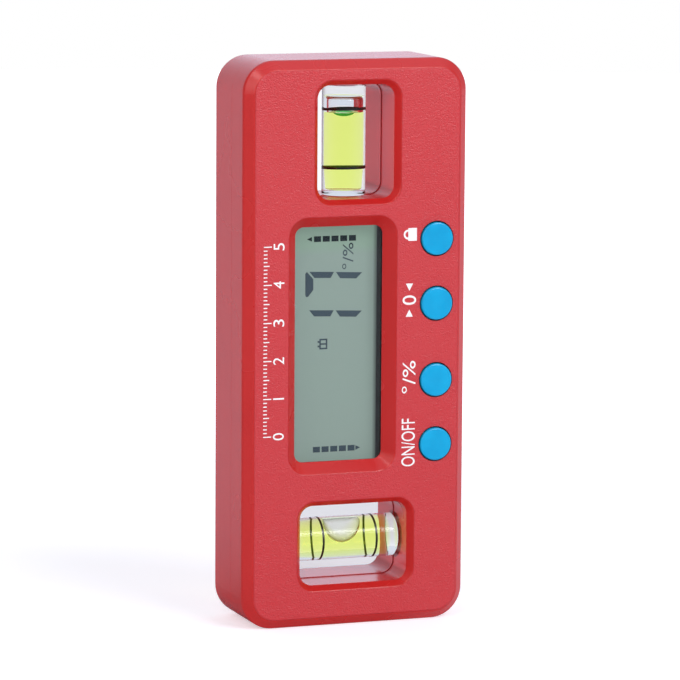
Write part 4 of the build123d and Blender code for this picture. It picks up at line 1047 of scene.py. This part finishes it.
def build_zebra():
    """A strip of silicone rubber, in thin layers that conduct and insulate by turns."""
    material, tree, shader = new_material("zebra_strip_rubber", IOR=RUBBER_IOR)
    layers = add_node(
        tree, "TexWave", [("bands_direction", "X")], Vector=place_on(tree), Scale=RUBBER_WAVES,
    ).outputs["Fac"]
    feed(tree, shader.inputs["Base Color"], mix_colours(tree, layers, RUBBER_DARK, RUBBER_PINK))
    feed(tree, shader.inputs["Roughness"], spread(tree, layers, 0.0, 1.0, *RUBBER_ROUGH))
    return material


resin = build_plain(
    "black_resin_gloss", deep=(0.008, 0.008, 0.009, 1), pale=(0.02, 0.02, 0.021, 1),
    waves=180.0, rough=(0.10, 0.22), relief=0.3,
)
tin = build_plated(
    "crystal_can_tin", deep=(0.60, 0.60, 0.60, 1), pale=(0.75, 0.75, 0.75, 1),
    waves=420.0, rough=(0.2, 0.34),
)
ceramic = build_plain(
    "capacitor_ceramic", deep=(0.30, 0.20, 0.11, 1), pale=(0.42, 0.30, 0.18, 1),
    waves=1500.0, rough=(0.4, 0.55), relief=0.1,
)
foam = build_plain(
    "cushion_foam", deep=(0.02, 0.02, 0.021, 1), pale=(0.06, 0.06, 0.062, 1),
    waves=1800.0, rough=(0.85, 0.98), relief=1.0,
)
dress(build_board(), "main_board")
dress(resin, "controller_chip", "tilt_sensor")
dress(tin, "clock_crystal")
dress(ceramic, "board_capacitors")
dress(foam, "lcd_cushion")
dress(build_zebra(), "zebra_strip")
for part, deep, pale in (
    ("body", (0.010, 0.010, 0.011, 1), (0.028, 0.028, 0.03, 1)),
    ("plunger", (0.16, 0.15, 0.14, 1), (0.24, 0.23, 0.22, 1)),
):
    nylon = build_plain(
        f"switch_{part}_nylon", deep, pale, waves=900.0, rough=(0.4, 0.55), relief=0.2,
    )
    for key in LABEL_RISE:
        dress(nylon, f"{key}_switch_{part}")

# Floor
# A pale matte paper sheet that the object stands on. It looks white, keeps the object's soft
# shadow, has a painted shadow behind the object, and is dim in reflections except towards the
# bright back right.
SCENE = bpy.context.scene
AZIMUTH = math.radians(-19.98)
FLOOR_RADIUS = 1.88
FLOOR_SEGMENTS = 96
FLOOR_DROP = 0.02 * MM
FLOOR_ROUGH = 0.9
FLOOR_DEEP = (0.76, 0.77, 0.84, 1)
FLOOR_PALE = (0.80, 0.81, 0.88, 1)
FLOOR_DIM = (0.16, 0.17, 0.20, 1)
PAPER_WAVES = 40.0
PAPER_DETAIL = 4.0
GLOW_TINT = (0.96, 0.97, 1.0, 1)
REFLECTED_TINT = (0.76, 0.84, 1.0, 1)
BACK_HEADING = (0.5, 0.8)
BRIGHT_AIM = (0.65, 0.76, 0.0)
BRIGHT_HEADING = (-0.1, 0.92)
MIRRORED_GLOW = (0.05, 0.9)
SHADOW_FAN = -0.012
SHADOW_SIDE = (0.018, 0.034)
SHADOW_FRONT = (0.02, 0.03)
OPEN_REACH = (0.10, 0.4)
OPEN_GLOW = (0.5, 1.0)
STRAIGHT_REACH = (0.2, 0.9)
STRAIGHT_GLOW = (0.17, 0.62)
BENT_REACH = (0.1, 0.9)
BENT_GLOW = (0.2, 0.42)
BOUNCED_GLOW = 0.24


def highest(tree, *values):
    """The highest of some values."""
    most = values[0]
    for value in values[1:]:
        most = calculate(tree, "MAXIMUM", most, value)
    return most


def build_paper():
    """White paper: what the camera, a reflection and a look through the vials see of it differs."""
    material, tree, shader = new_material("floor_sheet", Roughness=FLOOR_ROUGH)
    place = place_on(tree)
    path = add_node(tree, "LightPath").outputs
    seen, bent = path["Is Camera Ray"], path["Is Transmission Ray"]
    mirrored = calculate(tree, "SUBTRACT", path["Is Glossy Ray"], bent)
    distance = add_node(tree, "VectorMath", [("operation", "LENGTH")])
    feed(tree, distance.inputs[0], place)
    distance = distance.outputs["Value"]
    heading = calculate(tree, "DIVIDE", axes_of(tree, place)["Y"], distance)
    front = spread(tree, heading, *BACK_HEADING, 1.0, 0.0)
    back = calculate(tree, "SUBTRACT", 1.0, front)

    paper = mix_colours(tree, noise(tree, place, PAPER_WAVES, PAPER_DETAIL), FLOOR_DEEP, FLOOR_PALE)
    bounced = highest(tree, path["Is Glossy Ray"], bent)
    dim = highest(tree, calculate(tree, "MULTIPLY", front, bounced), mirrored)
    feed(tree, shader.inputs["Base Color"], mix_colours(tree, dim, paper, FLOOR_DIM))

    # Behind the object, within the fan of its outline from the camera, the paper loses its white
    # glow for the camera: a painted shadow, seen through the windows.
    turned = add_node(tree, "Mapping", Vector=place, Rotation=(0, 0, -AZIMUTH))
    view = axes_of(tree, turned.outputs["Vector"])
    aside = calculate(tree, "ABSOLUTE", view["X"])
    aside = calculate(tree, "MULTIPLY_ADD", view["Y"], SHADOW_FAN, aside)
    beside = spread(tree, aside, *SHADOW_SIDE)
    before = spread(tree, view["Y"], *SHADOW_FRONT, 1.0, 0.0)
    unshaded = calculate(tree, "MULTIPLY", seen, highest(tree, beside, before))
    open_glow = spread(tree, distance, *OPEN_REACH, *OPEN_GLOW)
    open_glow = calculate(tree, "MULTIPLY", unshaded, open_glow)
    straight = spread(tree, distance, *STRAIGHT_REACH, *STRAIGHT_GLOW)
    straight = calculate(tree, "MULTIPLY", straight, seen)
    through = spread(tree, distance, *BENT_REACH, *BENT_GLOW)
    through = calculate(tree, "MULTIPLY", through, bent)
    behind = calculate(tree, "MULTIPLY", highest(tree, straight, through), back)
    aim = add_node(tree, "VectorMath", [("operation", "DOT_PRODUCT")])
    feed(tree, aim.inputs[0], place)
    feed(tree, aim.inputs[1], BRIGHT_AIM)
    aim = calculate(tree, "DIVIDE", aim.outputs["Value"], distance)
    bright = spread(tree, aim, *BRIGHT_HEADING, *MIRRORED_GLOW)
    bright = calculate(tree, "MULTIPLY", mirrored, bright)
    scattered = calculate(tree, "MULTIPLY", path["Is Diffuse Ray"], BOUNCED_GLOW)
    glow = highest(tree, open_glow, behind, scattered, bright)
    tint = mix_colours(tree, mirrored, GLOW_TINT, REFLECTED_TINT)
    feed(tree, shader.inputs["Emission Color"], tint)
    feed(tree, shader.inputs["Emission Strength"], glow)
    return material


sheet = bmesh.new()
bmesh.ops.create_circle(sheet, cap_ends=True, segments=FLOOR_SEGMENTS, radius=FLOOR_RADIUS)
bmesh.ops.translate(sheet, vec=(0, 0, -FLOOR_DROP), verts=sheet.verts[:])
floor_mesh = bpy.data.meshes.new("floor")
sheet.to_mesh(floor_mesh)
sheet.free()
floor_mesh.materials.append(build_paper())
floor = bpy.data.objects.new("floor", floor_mesh)
SCENE.collection.objects.link(floor)

# Light and camera
# A broad soft box at the front right, two small ones on the left, two lamps that only add
# highlights, and a white surround. The camera has the photograph's place and its long lens.
LENS = 218.92
SENSOR = 36.0
CLIP = (0.01, 20)
ELEVATION = math.radians(8.175)
ROLL = math.radians(0.375)
DISTANCE = 1.083734
TARGET = Vector((-0.004809, -0.0120, 0.076525))
WHITE = (1.0, 1.0, 1.0)
WARM_WHITE = (1.0, 0.98, 0.97)
COOL_WHITE = (0.97, 0.98, 1.0)
THROUGH_TINT = (0.82, 0.88, 1.0, 1)
BACK_SPAN = (0.5, 0.9)
BACK_LEVEL = (0.45, 1.6)
LEFT_SPAN = (-0.34, 0.34)
LEFT_LEVEL = (0.4, 1.0)
OVERHEAD_SPAN = (0.6, 0.95)
THROUGH_SPAN = (-0.1, 0.2)
THROUGH_LEVEL = (0.25, 0.85)
AMBIENT_SPAN = (0.2, 0.9)
AMBIENT_LEVEL = (0.62, 0.1)
AMBIENT_BACK = (1.0, 3.2)


def add_soft_box(name, towards, distance, size, power, colour, gloss_only):
    """A square area lamp that faces the middle of the object, or only a highlight of one."""
    lamp = bpy.data.lights.new(name, "AREA")
    lamp.size = size
    lamp.energy = power
    lamp.color = colour
    holder = bpy.data.objects.new(name, lamp)
    SCENE.collection.objects.link(holder)
    heading = Vector(towards).normalized()
    holder.visible_diffuse = not gloss_only
    holder.location = TARGET + heading * distance
    holder.rotation_mode = "QUATERNION"
    holder.rotation_quaternion = heading.to_track_quat("Z", "Y")


def build_surround():
    """A studio: white behind the object, dim in front of it and dark to the left."""
    world = bpy.data.worlds.new("surround")
    SCENE.world = world
    world.use_nodes = True
    tree = world.node_tree
    path = add_node(tree, "LightPath").outputs
    bent = path["Is Transmission Ray"]
    reflected = calculate(tree, "SUBTRACT", path["Is Glossy Ray"], bent)
    towards = axes_of(tree, add_node(tree, "TexCoord").outputs["Generated"])
    back = spread(tree, towards["Y"], *BACK_SPAN, *BACK_LEVEL)
    left = spread(tree, towards["X"], *LEFT_SPAN, *LEFT_LEVEL)
    overhead = spread(tree, towards["Z"], *OVERHEAD_SPAN)
    mirrored = calculate(tree, "MULTIPLY_ADD", back, left, overhead)
    mirrored = calculate(tree, "MULTIPLY", mirrored, reflected)
    through = spread(tree, towards["Y"], *THROUGH_SPAN, *THROUGH_LEVEL)
    through = calculate(tree, "MULTIPLY", through, bent)
    ambient = spread(tree, towards["Z"], *AMBIENT_SPAN, *AMBIENT_LEVEL)
    from_back = spread(tree, towards["Y"], *AMBIENT_SPAN, *AMBIENT_BACK)
    ambient = calculate(tree, "MULTIPLY", ambient, from_back)
    ambient = calculate(tree, "MULTIPLY", ambient, path["Is Diffuse Ray"])
    strength = highest(tree, mirrored, path["Is Camera Ray"], through, ambient)
    tint = mix_colours(tree, bent, (*WHITE, 1), THROUGH_TINT)
    tint = mix_colours(tree, reflected, tint, REFLECTED_TINT)
    feed(tree, tree.nodes["Background"].inputs["Color"], tint)
    feed(tree, tree.nodes["Background"].inputs["Strength"], strength)


def build_camera():
    """The photograph's camera, with its small roll."""
    lens = bpy.data.cameras.new("camera")
    lens.lens = LENS
    lens.sensor_width = SENSOR
    lens.clip_start, lens.clip_end = CLIP
    camera = bpy.data.objects.new("camera", lens)
    SCENE.collection.objects.link(camera)
    level = math.cos(ELEVATION)
    back = Vector((math.sin(AZIMUTH) * level, -math.cos(AZIMUTH) * level, math.sin(ELEVATION)))
    right = Vector((math.cos(AZIMUTH), math.sin(AZIMUTH), 0))
    up = back.cross(right)
    rolled_right = right * math.cos(ROLL) + up * math.sin(ROLL)
    rolled_up = up * math.cos(ROLL) - right * math.sin(ROLL)
    axes = Matrix((rolled_right, rolled_up, back)).transposed().to_4x4()
    camera.matrix_world = Matrix.Translation(TARGET + back * DISTANCE) @ axes
    SCENE.camera = camera


for name, towards, distance, size, power, colour, gloss_only in (
    ("soft_box_left", (-0.43, -0.67, 0.61), 0.9, 0.3, 1.0, WARM_WHITE, False),
    ("soft_box_low", (-0.80, -0.46, 0.38), 0.9, 0.5, 1.35, WHITE, False),
    ("soft_box_right", (0.36, -0.75, 0.55), 1.4, 0.77, 10.98, COOL_WHITE, False),
    ("edge_highlight", (0.34, -0.77, 0.54), 1.0, 0.2, 1.6, WHITE, True),
    ("corner_highlight", (-0.55, -0.32, 0.75), 1.0, 0.25, 1.0, WHITE, True),
):
    add_soft_box(name, towards, distance, size, power, colour, gloss_only)
build_surround()
build_camera()
SCENE.view_settings.view_transform = "Standard"
